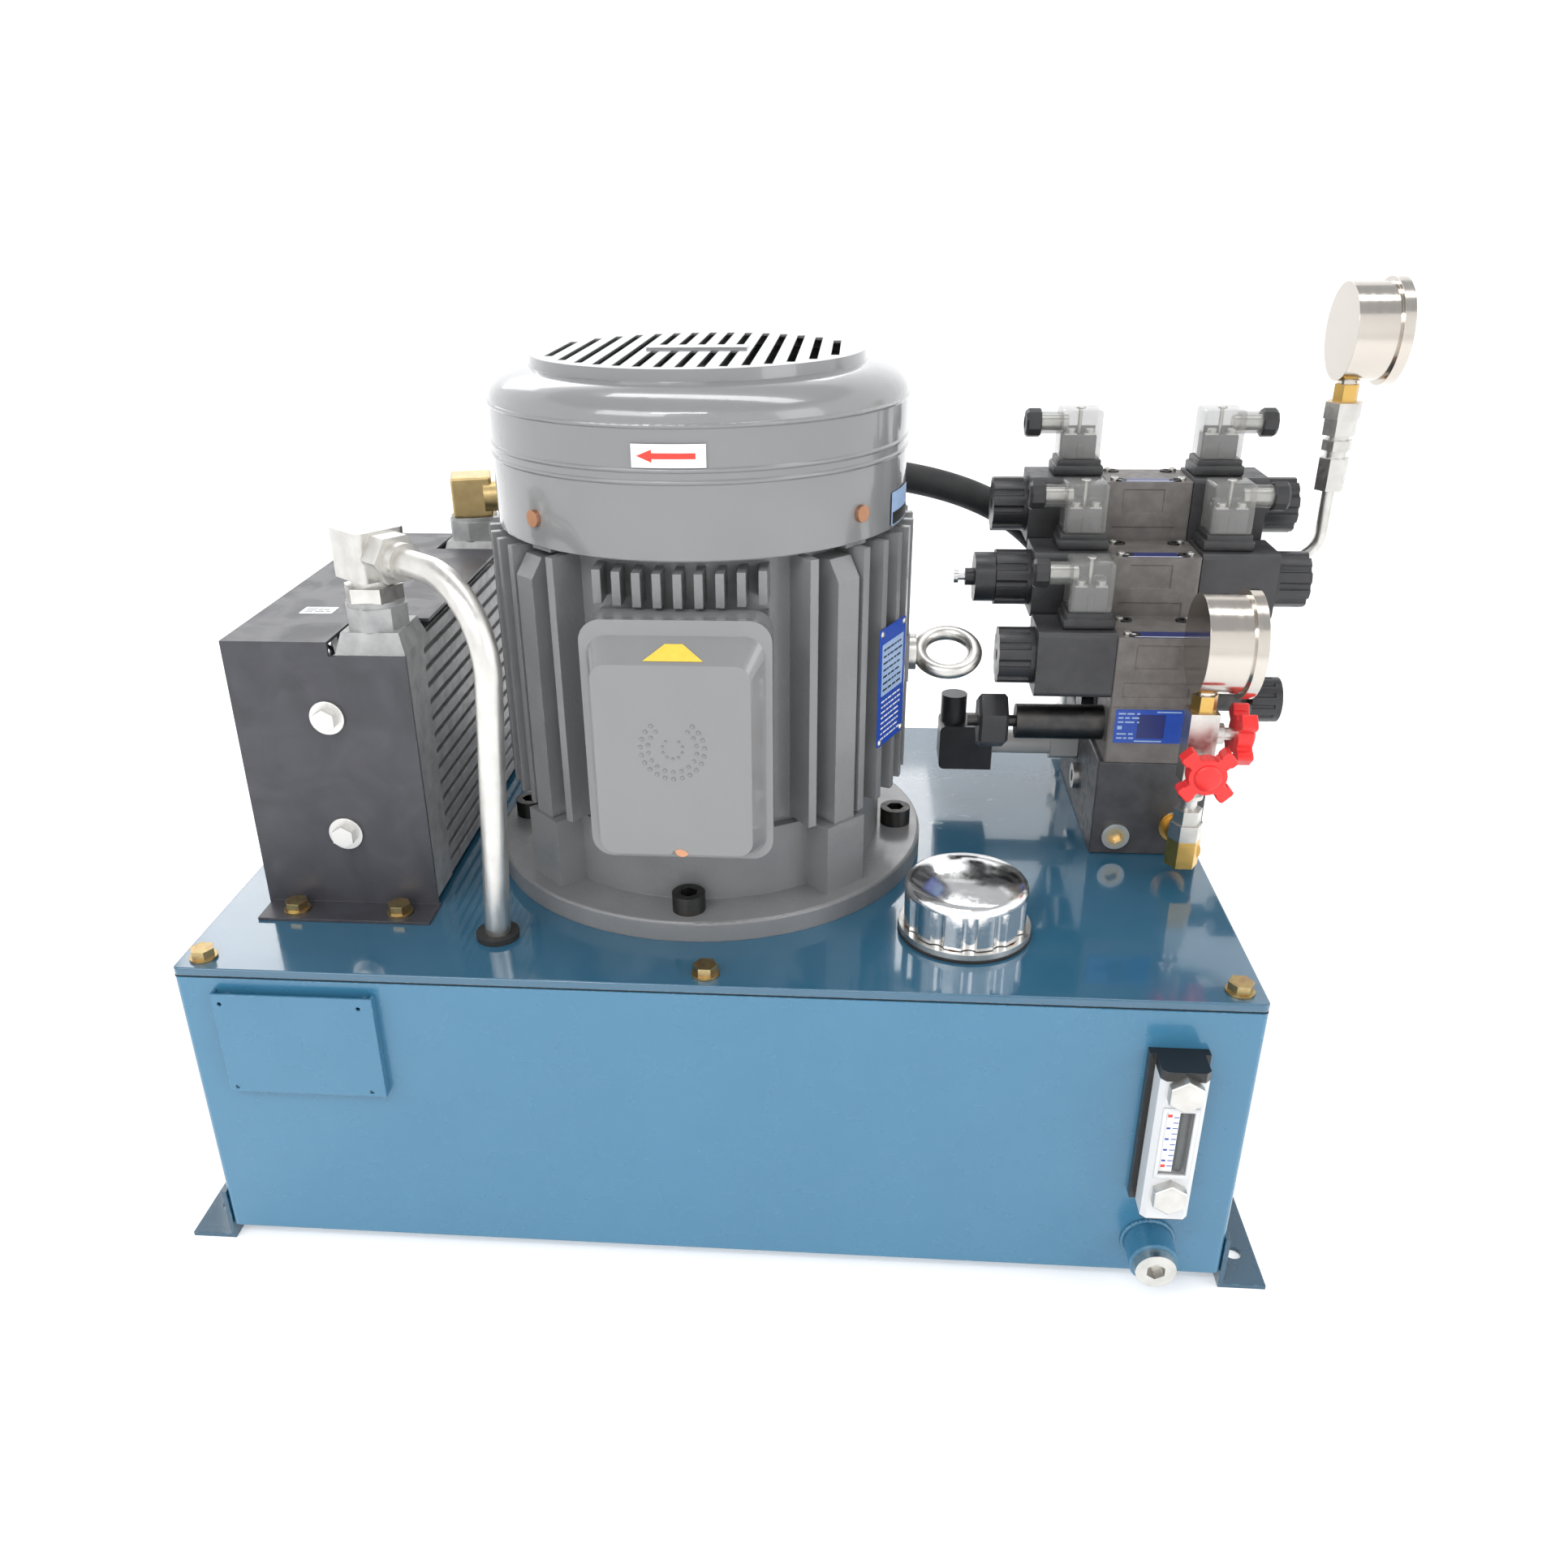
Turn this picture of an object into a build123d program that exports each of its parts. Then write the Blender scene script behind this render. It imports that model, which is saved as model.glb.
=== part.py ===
"""Hydraulic power unit: oil tank, flange motor with immersed gear pump, air-oil cooler in the
return line, and a manifold with three stacked directional valves.

Millimetres. +Z is up and the floor is Z = 0. The origin is the middle of the foot bolt pattern,
on the floor. The tank's long side runs along X, and its front is the -Y side.
"""

import os
from math import cos, degrees, pi, radians, sin, sqrt, tan

from build123d import *

os.makedirs("parts", exist_ok=True)

# ---------------------------------------------------------------- driving dimensions
TANK_X = 656.0
TANK_Y = 414.0
TANK_BOTTOM = 12.0
COVER_TOP = 218.0
COVER_THICK = 5.0
GASKET_THICK = 1.5
SHEET = 3.0
RIM_WIDTH = 26.0
FOOT_WIDTH = 30.0
FOOT_HOLE_R = 5.5
FOOT_HOLE_X = 344.0
FOOT_HOLE_Y = 179.0

MOTOR = (-16.0, -8.0)
FLANGE_R = 150.0
FLANGE_THICK = 14.0
FLANGE_PCD = 265.0
FRAME_BORE_R = 105.2
FRAME_WALL_R = 114.0
FIN_R = 136.8
FRAME_LOW = 279.0
FRAME_HIGH = 452.0
COWL_R = 130.7
COWL_LOW = 455.0
COWL_SHOULDER = 528.5
COWL_TOP = 554.5
COWL_SHEET = 1.8
SHAFT_R = 14.0
PUMP_SHAFT_R = 9.5
RUNNING = 0.04

GEAR_TEETH = 12
GEAR_MODULE = 3.5
GEAR_LOW = 152.0
GEAR_WIDTH = 24.0

COOLER_X = (-300.0, -185.0)
COOLER_Y = (-124.0, 148.0)
COOLER_TOP = 400.0
CORE_X = (-231.0, -186.5)
CORE_TOP = 391.0
HEADER_DEPTH = 36.0
PORT_X = -208.0
FRONT_PORT_Y = -99.0
REAR_PORT_Y = 125.0
COOLER_FAN = (13.0, 308.0)

MANIFOLD_X = (252.5, 327.0)
MANIFOLD_Y = (-23.2, 125.3)
MANIFOLD_TOP = 288.0
STATION_Y = (0.0, 50.0, 100.0)
STACK_PLATES = (1, 2, 3)
PLATE_HEIGHT = 40.0
VALVE_X = (256.0, 316.0)
VALVE_WIDTH = 46.0
VALVE_HEIGHT = 48.0
SPOOL_ABOVE_SEAT = 28.0
SPOOL_R = 8.0
PIN_R = 2.5
SEAL_GAP = 0.1
COIL_LENGTH = 51.0
COIL_SIZE = 45.0
NUT_LENGTH = 24.0
NUT_R = 19.0
TUBE_R = 10.9
BOLT_X = 19.0
BOLT_Y = 16.0

FILLER = (158.0, -132.0)
LEVEL_X = 279.6
LEVEL_Z = 135.0
LEVEL_PITCH = 76.0

FRONT_GAUGE = (306.4, -59.0, 385.0)
REAR_GAUGE = (411.0, 90.0, 552.5)
GAUGE_R = 31.0
GAUGE_BEZEL_R = 34.0

HOSE_R = 11.0
HOSE_ROUTE = [
    (264, 150, 276),
    (264, 150, 323),
    (246.9, 151, 370),
    (214.8, 150, 408.3),
    (171.5, 148, 433.3),
    (113.3, 147, 447.8),
    (50, 149, 450.5),
    (-12, 150, 448),
    (-68, 147, 442),
    (-118, 138, 436.5),
    (-162, 126.5, 436),
]
RETURN_R = 8.0
RETURN_HOLE = (-136.3, -158.0)
RETURN_ARM_Z = 449.7
RETURN_DEPTH = 60.0

ON_BASE = (Align.CENTER, Align.CENTER, Align.MIN)


# ---------------------------------------------------------------- shared shapes
def block(x, y, z, mode=Mode.ADD):
    """Box between three (low, high) ranges, added to the open part."""
    with Locations(((x[0] + x[1]) / 2, (y[0] + y[1]) / 2, (z[0] + z[1]) / 2)):
        Box(x[1] - x[0], y[1] - y[0], z[1] - z[0], mode=mode)


def post(radius, z, centre, mode=Mode.ADD):
    """Upright cylinder between two heights."""
    with Locations((centre[0], centre[1], z[0])):
        Cylinder(radius, z[1] - z[0], align=ON_BASE, mode=mode)


def rod(radius, start, direction, length, mode=Mode.ADD):
    """Cylinder from a start point along a direction."""
    with Locations(Plane(origin=start, z_dir=direction)):
        Cylinder(radius, length, align=ON_BASE, mode=mode)


def ring(outer, inner, start, direction, length):
    """Tube section from a start point along a direction."""
    rod(outer, start, direction, length)
    rod(inner, start, direction, length, mode=Mode.SUBTRACT)


def prism(sides, across_flats, start, direction, length, mode=Mode.ADD):
    """Regular prism from a start point along a direction."""
    with BuildSketch(Plane(origin=start, z_dir=direction)) as outline:
        RegularPolygon(across_flats / 2, sides, major_radius=False)
    extrude(outline.sketch, amount=length, mode=mode)


def socket_screw(head_r, head_h, shank_r, shank_l):
    """Socket-head screw: head above Z = 0, shank below, hexagon socket in the head."""
    with BuildPart() as screw:
        post(head_r, (0, head_h), (0, 0))
        post(shank_r, (-shank_l, 0), (0, 0))
        prism(6, head_r, (0, 0, head_h), (0, 0, -1), head_h * 0.6, mode=Mode.SUBTRACT)
    return screw.part


def hex_bolt(across_flats, head_h, washer_r, washer_h, shank_r, shank_l):
    """Hexagon bolt on its washer: seat at Z = 0, shank below."""
    with BuildPart() as bolt:
        post(washer_r, (0, washer_h), (0, 0))
        prism(6, across_flats, (0, 0, washer_h), (0, 0, 1), head_h)
        post(shank_r, (-shank_l, 0), (0, 0))
    return bolt.part


def hex_plug(head_r, head_h, shank_r, shank_l):
    """Round-headed port plug with a hexagon socket: seat at Z = 0, thread below."""
    with BuildPart() as plug:
        post(head_r, (0, head_h), (0, 0))
        post(shank_r, (-shank_l, 0), (0, 0))
        prism(6, head_r * 0.85, (0, 0, head_h), (0, 0, -1), head_h, mode=Mode.SUBTRACT)
    return plug.part


def finish(builder, label):
    """Names the finished piece and writes its file."""
    builder.part.label = label
    export_step(builder.part, f"parts/{label}.step")


def stack_base(station):
    """Height of the valve seat above a station's sandwich plates."""
    return MANIFOLD_TOP + STACK_PLATES[station] * PLATE_HEIGHT


def spool_axis(station):
    """Height of the spool's axis at a station."""
    return stack_base(station) + SPOOL_ABOVE_SEAT


# ---------------------------------------------------------------- return tube's route
port_seat = CORE_TOP + 30
arm = Vector(92, -77, 0).normalized()
elbow_axis = Vector(PORT_X, FRONT_PORT_Y, RETURN_ARM_Z)
arm_end = elbow_axis + arm * 41
grommet = Vector(*RETURN_HOLE, COVER_TOP)
bend_corner = arm_end + arm * 79
lean = (grommet - bend_corner).normalized()
tube_end = bend_corner + lean * (RETURN_ARM_Z - RETURN_DEPTH)

# ---------------------------------------------------------------- tank
half_x = TANK_X / 2
half_y = TANK_Y / 2
cover_low = COVER_TOP - COVER_THICK
shell_top = cover_low - GASKET_THICK
bolt_row_x = half_x - 15
bolt_row_y = half_y - 13
cover_bolt_places = [(x, y) for x in (-bolt_row_x, 0, bolt_row_x) for y in (-bolt_row_y, bolt_row_y)]
drain = (279.0, 38.0)
drain_face = -half_y - 21
level_holes = [LEVEL_Z - LEVEL_PITCH / 2, LEVEL_Z + LEVEL_PITCH / 2]

with BuildPart() as tank_shell:
    block((-half_x, half_x), (-half_y, half_y), (TANK_BOTTOM, shell_top))
    fillet(tank_shell.edges().filter_by(Axis.Z), 4)
    inner_x = half_x - SHEET
    inner_y = half_y - SHEET
    block((-inner_x, inner_x), (-inner_y, inner_y), (TANK_BOTTOM + SHEET, shell_top - SHEET), Mode.SUBTRACT)
    mouth_x = half_x - RIM_WIDTH
    mouth_y = half_y - RIM_WIDTH
    block((-mouth_x, mouth_x), (-mouth_y, mouth_y), (shell_top - SHEET - 1, shell_top + 1), Mode.SUBTRACT)
    rod(15, (drain[0], drain_face, drain[1]), (0, 1, 0), 21 + SHEET)
    rod(8, (drain[0], drain_face - 1, drain[1]), (0, 1, 0), 30, mode=Mode.SUBTRACT)
    for hole_x, hole_y in cover_bolt_places:
        post(4.2, (shell_top - 10, shell_top + 1), (hole_x, hole_y), Mode.SUBTRACT)
    for hole_z in level_holes:
        rod(6.2, (LEVEL_X, -half_y - 1, hole_z), (0, 1, 0), 6, mode=Mode.SUBTRACT)
finish(tank_shell, "tank_shell")

with BuildPart() as rubber_seals:
    block((-half_x + 1, half_x - 1), (-half_y + 1, half_y - 1), (shell_top, cover_low))
    block((-mouth_x, mouth_x), (-mouth_y, mouth_y), (shell_top, cover_low), Mode.SUBTRACT)
    for hole_x, hole_y in cover_bolt_places:
        post(4.2, (shell_top, cover_low), (hole_x, hole_y), Mode.SUBTRACT)
    post(13.5, (COVER_TOP, COVER_TOP + 4), RETURN_HOLE)
    post(11.8, (cover_low - 3, COVER_TOP), RETURN_HOLE)
    rod(RETURN_R + 0.05, grommet - lean * 20, lean, 40, mode=Mode.SUBTRACT)
    ring(42, 26, (FILLER[0], FILLER[1], COVER_TOP), (0, 0, 1), 2)
finish(rubber_seals, "rubber_seals")

pump_hole_r = 76.0
pressure_port = (290.0, 25.0)
with BuildPart() as tank_cover:
    block((-half_x, half_x), (-half_y, half_y), (cover_low, COVER_TOP))
    fillet(tank_cover.edges().filter_by(Axis.Z), 4)
    fillet(tank_cover.faces().sort_by(Axis.Z)[-1].edges(), 1.2)
    post(pump_hole_r, (cover_low - 1, COVER_TOP + 1), MOTOR, Mode.SUBTRACT)
    post(25, (cover_low - 1, COVER_TOP + 1), FILLER, Mode.SUBTRACT)
    post(11.9, (cover_low - 1, COVER_TOP + 1), RETURN_HOLE, Mode.SUBTRACT)
    post(9, (cover_low - 1, COVER_TOP + 1), pressure_port, Mode.SUBTRACT)
    for hole_x, hole_y in cover_bolt_places:
        post(4.2, (cover_low - 1, COVER_TOP + 1), (hole_x, hole_y), Mode.SUBTRACT)
    with Locations((MOTOR[0], MOTOR[1], cover_low - 1)):
        with PolarLocations(FLANGE_PCD / 2, 4):
            Cylinder(6.2, COVER_THICK + 2, align=ON_BASE, mode=Mode.SUBTRACT)
finish(tank_cover, "tank_cover")

foot_x = half_x + FOOT_WIDTH
with BuildPart() as tank_feet:
    for side in (-1, 1):
        across = sorted((side * half_x, side * foot_x))
        upright = sorted((side * half_x, side * (half_x + SHEET)))
        block(across, (-half_y, half_y), (0, SHEET))
        block(upright, (-half_y, half_y), (0, 40))
        for end in (-1, 1):
            post(FOOT_HOLE_R, (-1, SHEET + 1), (side * FOOT_HOLE_X, end * FOOT_HOLE_Y), Mode.SUBTRACT)
finish(tank_feet, "tank_feet")

plate_x = (-303.5, -202.0)
plate_z = (131.0, 204.0)
with BuildPart() as nameplate_bracket:
    block(plate_x, (-half_y - 6.5, -half_y - 5), plate_z)
    block((plate_x[0], plate_x[0] + 1.5), (-half_y - 5, -half_y), plate_z)
    block((plate_x[1] - 1.5, plate_x[1]), (-half_y - 5, -half_y), plate_z)
    for hole_x in (plate_x[0] + 5, plate_x[1] - 9):
        for hole_z in (plate_z[0] + 3.5, plate_z[1] - 7):
            rod(1.4, (hole_x, -half_y - 8, hole_z), (0, 1, 0), 4, mode=Mode.SUBTRACT)
finish(nameplate_bracket, "nameplate_bracket")

# ---------------------------------------------------------------- oil level gauge
level_low = LEVEL_Z - 58
level_high = LEVEL_Z + 51
level_back = -half_y
level_front = -half_y - 24
with BuildPart() as level_gauge_body:
    block((LEVEL_X - 17.5, LEVEL_X + 17.5), (level_back - 6, level_back), (level_low, level_high))
    block((LEVEL_X - 14, LEVEL_X + 14), (level_front, level_back - 6), (level_low, level_high))
    chamfer(level_gauge_body.faces().sort_by(Axis.Y)[0].edges().filter_by(Axis.Z), 3)
    block((LEVEL_X - 8, LEVEL_X + 8), (level_front - 1, level_front + 14), (112, 158), Mode.SUBTRACT)
    for hole_z in level_holes:
        rod(6.1, (LEVEL_X, level_front - 1, hole_z), (0, 1, 0), 30, mode=Mode.SUBTRACT)
finish(level_gauge_body, "level_gauge_body")

with BuildPart() as level_gauge_window:
    block((LEVEL_X - 7.9, LEVEL_X + 7.9), (level_front + 2, level_front + 9), (112.1, 157.9))
finish(level_gauge_window, "level_gauge_window")

with BuildPart() as level_gauge_bolts:
    for hole_z in level_holes:
        prism(6, 19, (LEVEL_X, level_front, hole_z), (0, -1, 0), 7)
        rod(6, (LEVEL_X, level_front, hole_z), (0, 1, 0), 32)
    fillet(level_gauge_bolts.faces().filter_by(Axis.Y).group_by(Axis.Y)[0].edges(), 1.5)
finish(level_gauge_bolts, "level_gauge_bolts")

# ---------------------------------------------------------------- filler and breather
filler_top = COVER_TOP + 2 + 4
with BuildPart() as filler_neck:
    ring(41.5, 24, (FILLER[0], FILLER[1], COVER_TOP + 2), (0, 0, 1), 4)
    ring(29, 24, (FILLER[0], FILLER[1], filler_top), (0, 0, 1), 8)
    ring(24.8, 23.6, (FILLER[0], FILLER[1], 128), (0, 0, 1), COVER_TOP - 126)
    post(24.8, (126.8, 128), FILLER)
    with Locations((FILLER[0], FILLER[1], COVER_TOP + 2)):
        with PolarLocations(35.5, 6, start_angle=15):
            Cylinder(2.2, 5, align=ON_BASE, mode=Mode.SUBTRACT)
    with Locations((FILLER[0], FILLER[1], filler_top - 2)):
        with PolarLocations(35.5, 6, start_angle=15):
            Cylinder(3.6, 3, align=ON_BASE, mode=Mode.SUBTRACT)
finish(filler_neck, "filler_neck")

cap_low = filler_top + 0.5
cap_high = cap_low + 36
with BuildPart() as filler_cap:
    with BuildSketch(Plane.XZ.offset(-FILLER[1])):
        with BuildLine():
            Polyline(
                (FILLER[0], cap_low + 10),
                (FILLER[0] + 29.8, cap_low + 10),
                (FILLER[0] + 29.8, cap_low),
                (FILLER[0] + 38, cap_low),
                (FILLER[0] + 38.5, cap_low + 24),
            )
            Spline(
                [(FILLER[0] + 38.5, cap_low + 24), (FILLER[0] + 32, cap_low + 31), (FILLER[0], cap_high)],
                tangents=[(0, 1), (-1, 0)],
            )
            Line((FILLER[0], cap_high), (FILLER[0], cap_low + 10))
        make_face()
    revolve(axis=Axis((FILLER[0], FILLER[1], 0), (0, 0, 1)))
    with Locations((FILLER[0], FILLER[1], cap_low - 1)):
        with PolarLocations(41.5, 12):
            Cylinder(6, 24, align=ON_BASE, mode=Mode.SUBTRACT)
finish(filler_cap, "filler_cap")

# ---------------------------------------------------------------- motor
flange_low = COVER_TOP
flange_high = COVER_TOP + FLANGE_THICK
lower_bearing = (246.0, 262.0)
upper_bearing = (446.0, 461.0)
bearing_r = 30.0
with BuildPart() as motor_flange:
    post(FLANGE_R, (flange_low, flange_high), MOTOR)
    fillet(motor_flange.faces().sort_by(Axis.Z)[-1].edges(), 2)
    post(120, (flange_high, FRAME_LOW), MOTOR)
    for lug in (45, 135, 225, 315):
        with Locations(Location((MOTOR[0], MOTOR[1], flange_high), (0, 0, lug))):
            with Locations((124, 0, 0)):
                Box(30, 32, FRAME_LOW - flange_high, align=ON_BASE)
    post(108, (flange_high, FRAME_LOW + 1), MOTOR, Mode.SUBTRACT)
    post(40, (flange_high - 1, lower_bearing[1]), MOTOR)
    for web in range(6):
        with Locations(Location((MOTOR[0], MOTOR[1], flange_high), (0, 0, 60 * web))):
            with Locations((74, 0, 0)):
                Box(72, 8, 20, align=ON_BASE)
    post(bearing_r + 0.02, (lower_bearing[0], lower_bearing[1] + 1), MOTOR, Mode.SUBTRACT)
    post(19, (flange_low - 1, lower_bearing[1]), MOTOR, Mode.SUBTRACT)
    with Locations((MOTOR[0], MOTOR[1], flange_low - 1)):
        with PolarLocations(FLANGE_PCD / 2, 4):
            Cylinder(6.2, FLANGE_THICK + 2, align=ON_BASE, mode=Mode.SUBTRACT)
finish(motor_flange, "motor_flange")

# The fins leave the terminal box's face, the eye bolt's boss and the lug corners free.
box_half_angle = 29.0
fin_count = 42
fin_thickness = 5.6
# Broad ribs over the flange lugs, with sloping tops.
pillar_angles = (45, 135, 225, 315)
pillar_width = 17.0
pillar_top = FRAME_HIGH - 4
boss_z = 360.0
with BuildPart() as motor_frame:
    post(FRAME_WALL_R, (FRAME_LOW, FRAME_HIGH), MOTOR)
    for fin in range(fin_count):
        angle = 360 / fin_count * (fin + 0.5)
        to_box = abs((angle - 270 + 180) % 360 - 180)
        to_pillar = abs(angle % 90 - 45)
        if to_box < box_half_angle or to_pillar < 6:
            continue
        with Locations(Location((MOTOR[0], MOTOR[1], FRAME_LOW + 3), (0, 0, angle))):
            with Locations(((FRAME_WALL_R + FIN_R) / 2 - 1, 0, 0)):
                Box(FIN_R - FRAME_WALL_R + 2, fin_thickness, FRAME_HIGH - FRAME_LOW - 3, align=ON_BASE)
    for angle in pillar_angles:
        outward = (cos(radians(angle)), sin(radians(angle)), 0)
        sideways = (outward[1], -outward[0], 0)
        with BuildSketch(Plane(origin=(MOTOR[0], MOTOR[1], 0), x_dir=outward, z_dir=sideways)):
            with BuildLine():
                Polyline(
                    (FRAME_WALL_R - 2, FRAME_LOW),
                    (FIN_R, FRAME_LOW),
                    (FIN_R, pillar_top - 12),
                    (FIN_R - 8, pillar_top),
                    (FRAME_WALL_R - 2, pillar_top),
                    close=True,
                )
            make_face()
        extrude(amount=pillar_width / 2, both=True)
    block((MOTOR[0] - 50, MOTOR[0] + 50), (MOTOR[1] - 125, MOTOR[1] - 100), (287, 420))
    for rib in range(-4, 5):
        rib_x = MOTOR[0] + rib * 12
        rib_y = MOTOR[1] - sqrt(132.0**2 - (rib * 12) ** 2)
        block((rib_x - 2.5, rib_x + 2.5), (rib_y, MOTOR[1] - 100), (428, FRAME_HIGH - 4))
    block((MOTOR[0] + 100, MOTOR[0] + 137), (MOTOR[1] - 16, MOTOR[1] + 16), (boss_z - 16, boss_z + 16))
    rod(6.05, (MOTOR[0] + 138, MOTOR[1], boss_z), (-1, 0, 0), 18, mode=Mode.SUBTRACT)
    post(FRAME_BORE_R, (FRAME_LOW - 1, FRAME_HIGH + 1), MOTOR, Mode.SUBTRACT)
    block((MOTOR[0] - 20, MOTOR[0] + 20), (MOTOR[1] - 126, MOTOR[1] - 90), (330, 370), Mode.SUBTRACT)
finish(motor_frame, "motor_frame")

screw_angles = (-131.5, -38.5, 48.5, 141.5)
screw_z = 471.5
shield_low = FRAME_HIGH
with BuildPart() as motor_end_shield:
    post(122, (shield_low, shield_low + 9), MOTOR)
    post(40, (upper_bearing[0], upper_bearing[1] + 3), MOTOR)
    post(bearing_r + 0.02, (upper_bearing[0] - 1, upper_bearing[1]), MOTOR, Mode.SUBTRACT)
    post(SHAFT_R + 2, (upper_bearing[0] - 1, upper_bearing[1] + 4), MOTOR, Mode.SUBTRACT)
    for angle in screw_angles:
        with Locations(Location((MOTOR[0], MOTOR[1], shield_low), (0, 0, angle))):
            with Locations((120, 0, 0)):
                Box(16, 18, 30, align=ON_BASE)
    for angle in screw_angles:
        outward = (cos(radians(angle)), sin(radians(angle)), 0)
        start = (MOTOR[0] + 110 * outward[0], MOTOR[1] + 110 * outward[1], screw_z)
        rod(2.6, start, outward, 22, mode=Mode.SUBTRACT)
finish(motor_end_shield, "motor_end_shield")


def cowl_profile(inset):
    """Half section of the fan cowl, drawn inwards by the sheet thickness where inset is set."""
    outer = COWL_R - inset
    top = COWL_TOP - inset
    crown = 103.5 - inset
    step = COWL_TOP - 6.5 - inset
    x0 = MOTOR[0]
    Line((x0, COWL_LOW), (x0 + outer, COWL_LOW))
    Line((x0 + outer, COWL_LOW), (x0 + outer, COWL_SHOULDER))
    Spline(
        [(x0 + outer, COWL_SHOULDER), (x0 + outer - 6, COWL_SHOULDER + 12), (x0 + crown + 1, step)],
        tangents=[(0, 1), (-1, 0.15)],
    )
    Line((x0 + crown + 1, step), (x0 + crown, top))
    Line((x0 + crown, top), (x0, top))
    Line((x0, top), (x0, COWL_LOW))


motor_axis = Axis((MOTOR[0], MOTOR[1], 0), (0, 0, 1))
slot_pitch = 12.2
slot_width = 4.8
crown_plate = (62.0, 16.0, 1.2)
with BuildPart() as fan_cowl:
    with BuildSketch(Plane.XZ.offset(-MOTOR[1])):
        with BuildLine():
            cowl_profile(0)
        make_face()
    revolve(axis=motor_axis)
    with BuildSketch(Plane.XZ.offset(-MOTOR[1])):
        with BuildLine():
            cowl_profile(COWL_SHEET)
        make_face()
    revolve(axis=motor_axis, mode=Mode.SUBTRACT)
    for bead_z in (498.5, 505.0, COWL_SHOULDER):
        with Locations((MOTOR[0], MOTOR[1], bead_z)):
            Torus(COWL_R - 0.6, 1.5)
    post(COWL_R - COWL_SHEET, (490, COWL_SHOULDER), MOTOR, Mode.SUBTRACT)
    with Locations((MOTOR[0], MOTOR[1], COWL_TOP - COWL_SHEET)):
        Box(crown_plate[0], crown_plate[1], COWL_SHEET + crown_plate[2], align=ON_BASE)
    for slot in range(-7, 8):
        offset_x = slot * slot_pitch
        reach = sqrt(94.0**2 - offset_x**2)
        inner = 12 if abs(slot) <= 2 else -1
        for side in (-1, 1):
            span = sorted((MOTOR[1] + side * inner, MOTOR[1] + side * reach))
            edge_x = MOTOR[0] + offset_x
            block((edge_x - slot_width / 2, edge_x + slot_width / 2), span, (540, 560), Mode.SUBTRACT)
    for angle in screw_angles:
        outward = (cos(radians(angle)), sin(radians(angle)), 0)
        start = (MOTOR[0] + 120 * outward[0], MOTOR[1] + 120 * outward[1], screw_z)
        rod(3.1, start, outward, 14, mode=Mode.SUBTRACT)
finish(fan_cowl, "fan_cowl")

box_x = (-70.0, 38.0)
box_z = (279.0, 426.0)
box_back = MOTOR[1] - 125
box_lip = -153.0
box_mid_x = (box_x[0] + box_x[1]) / 2
lid_screw_z = 284.0
with BuildPart() as terminal_box:
    block(box_x, (box_lip, box_back), box_z)
    fillet(terminal_box.edges().filter_by(Axis.Y), 12)
    block(
        (box_x[0] + 4, box_x[1] - 4), (box_lip - 1, box_back - 4), (box_z[0] + 4, box_z[1] - 4), Mode.SUBTRACT
    )
    block((MOTOR[0] - 19, MOTOR[0] + 19), (box_back - 5, box_back + 1), (331, 369), Mode.SUBTRACT)
    block((box_mid_x - 6, box_mid_x + 6), (box_lip, box_back), (box_z[0], lid_screw_z + 6))
    rod(2.6, (box_mid_x, box_lip - 1, lid_screw_z), (0, 1, 0), 13, mode=Mode.SUBTRACT)
    rod(10.2, (box_x[0] - 1, (box_lip + box_back) / 2, 320), (1, 0, 0), 6, mode=Mode.SUBTRACT)
finish(terminal_box, "terminal_box")

lid_lip = box_lip - 5
with BuildPart() as terminal_cover:
    block((box_x[0] - 1, box_x[1] + 1), (lid_lip, box_lip), (box_z[0] - 1, box_z[1] + 1))
    fillet(terminal_cover.edges().filter_by(Axis.Y), 13)
    with BuildSketch(Plane.XZ.offset(-lid_lip)):
        with Locations((box_mid_x, 350)):
            RectangleRounded(102, 136, 12)
    with BuildSketch(Plane.XZ.offset(-lid_lip + 12)):
        with Locations((box_mid_x - 2, 345)):
            RectangleRounded(91, 119, 9)
    loft()
    block(
        (box_x[0] + 4, box_x[1] - 4), (box_lip - 4, box_lip + 1), (box_z[0] + 4, box_z[1] - 4), Mode.SUBTRACT
    )
    block((box_mid_x - 6, box_mid_x + 6), (lid_lip, box_lip), (box_z[0], lid_screw_z + 6))
    rod(5.5, (box_mid_x, lid_lip - 14, lid_screw_z), (0, 1, 0), 14, mode=Mode.SUBTRACT)
    rod(2.6, (box_mid_x, lid_lip - 14, lid_screw_z), (0, 1, 0), 30, mode=Mode.SUBTRACT)
finish(terminal_cover, "terminal_cover")

with BuildPart() as trim_screws:
    for angle in screw_angles:
        outward = (cos(radians(angle)), sin(radians(angle)), 0)
        seat = COWL_R + 0.1
        start = (MOTOR[0] + seat * outward[0], MOTOR[1] + seat * outward[1], screw_z)
        rod(5, start, outward, 2.6)
        inward = (-outward[0], -outward[1], 0)
        rod(2.5, start, inward, 18)
    with Locations((FILLER[0], FILLER[1], filler_top - 2)):
        with PolarLocations(35.5, 6, start_angle=15):
            Cylinder(2, 2, align=(Align.CENTER, Align.CENTER, Align.MAX))
            Cylinder(3.5, 1.9, align=ON_BASE)
    rod(4.4, (box_mid_x, lid_lip, lid_screw_z), (0, -1, 0), 3)
    rod(2.5, (box_mid_x, lid_lip, lid_screw_z), (0, 1, 0), 14)
finish(trim_screws, "trim_screws")

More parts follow.
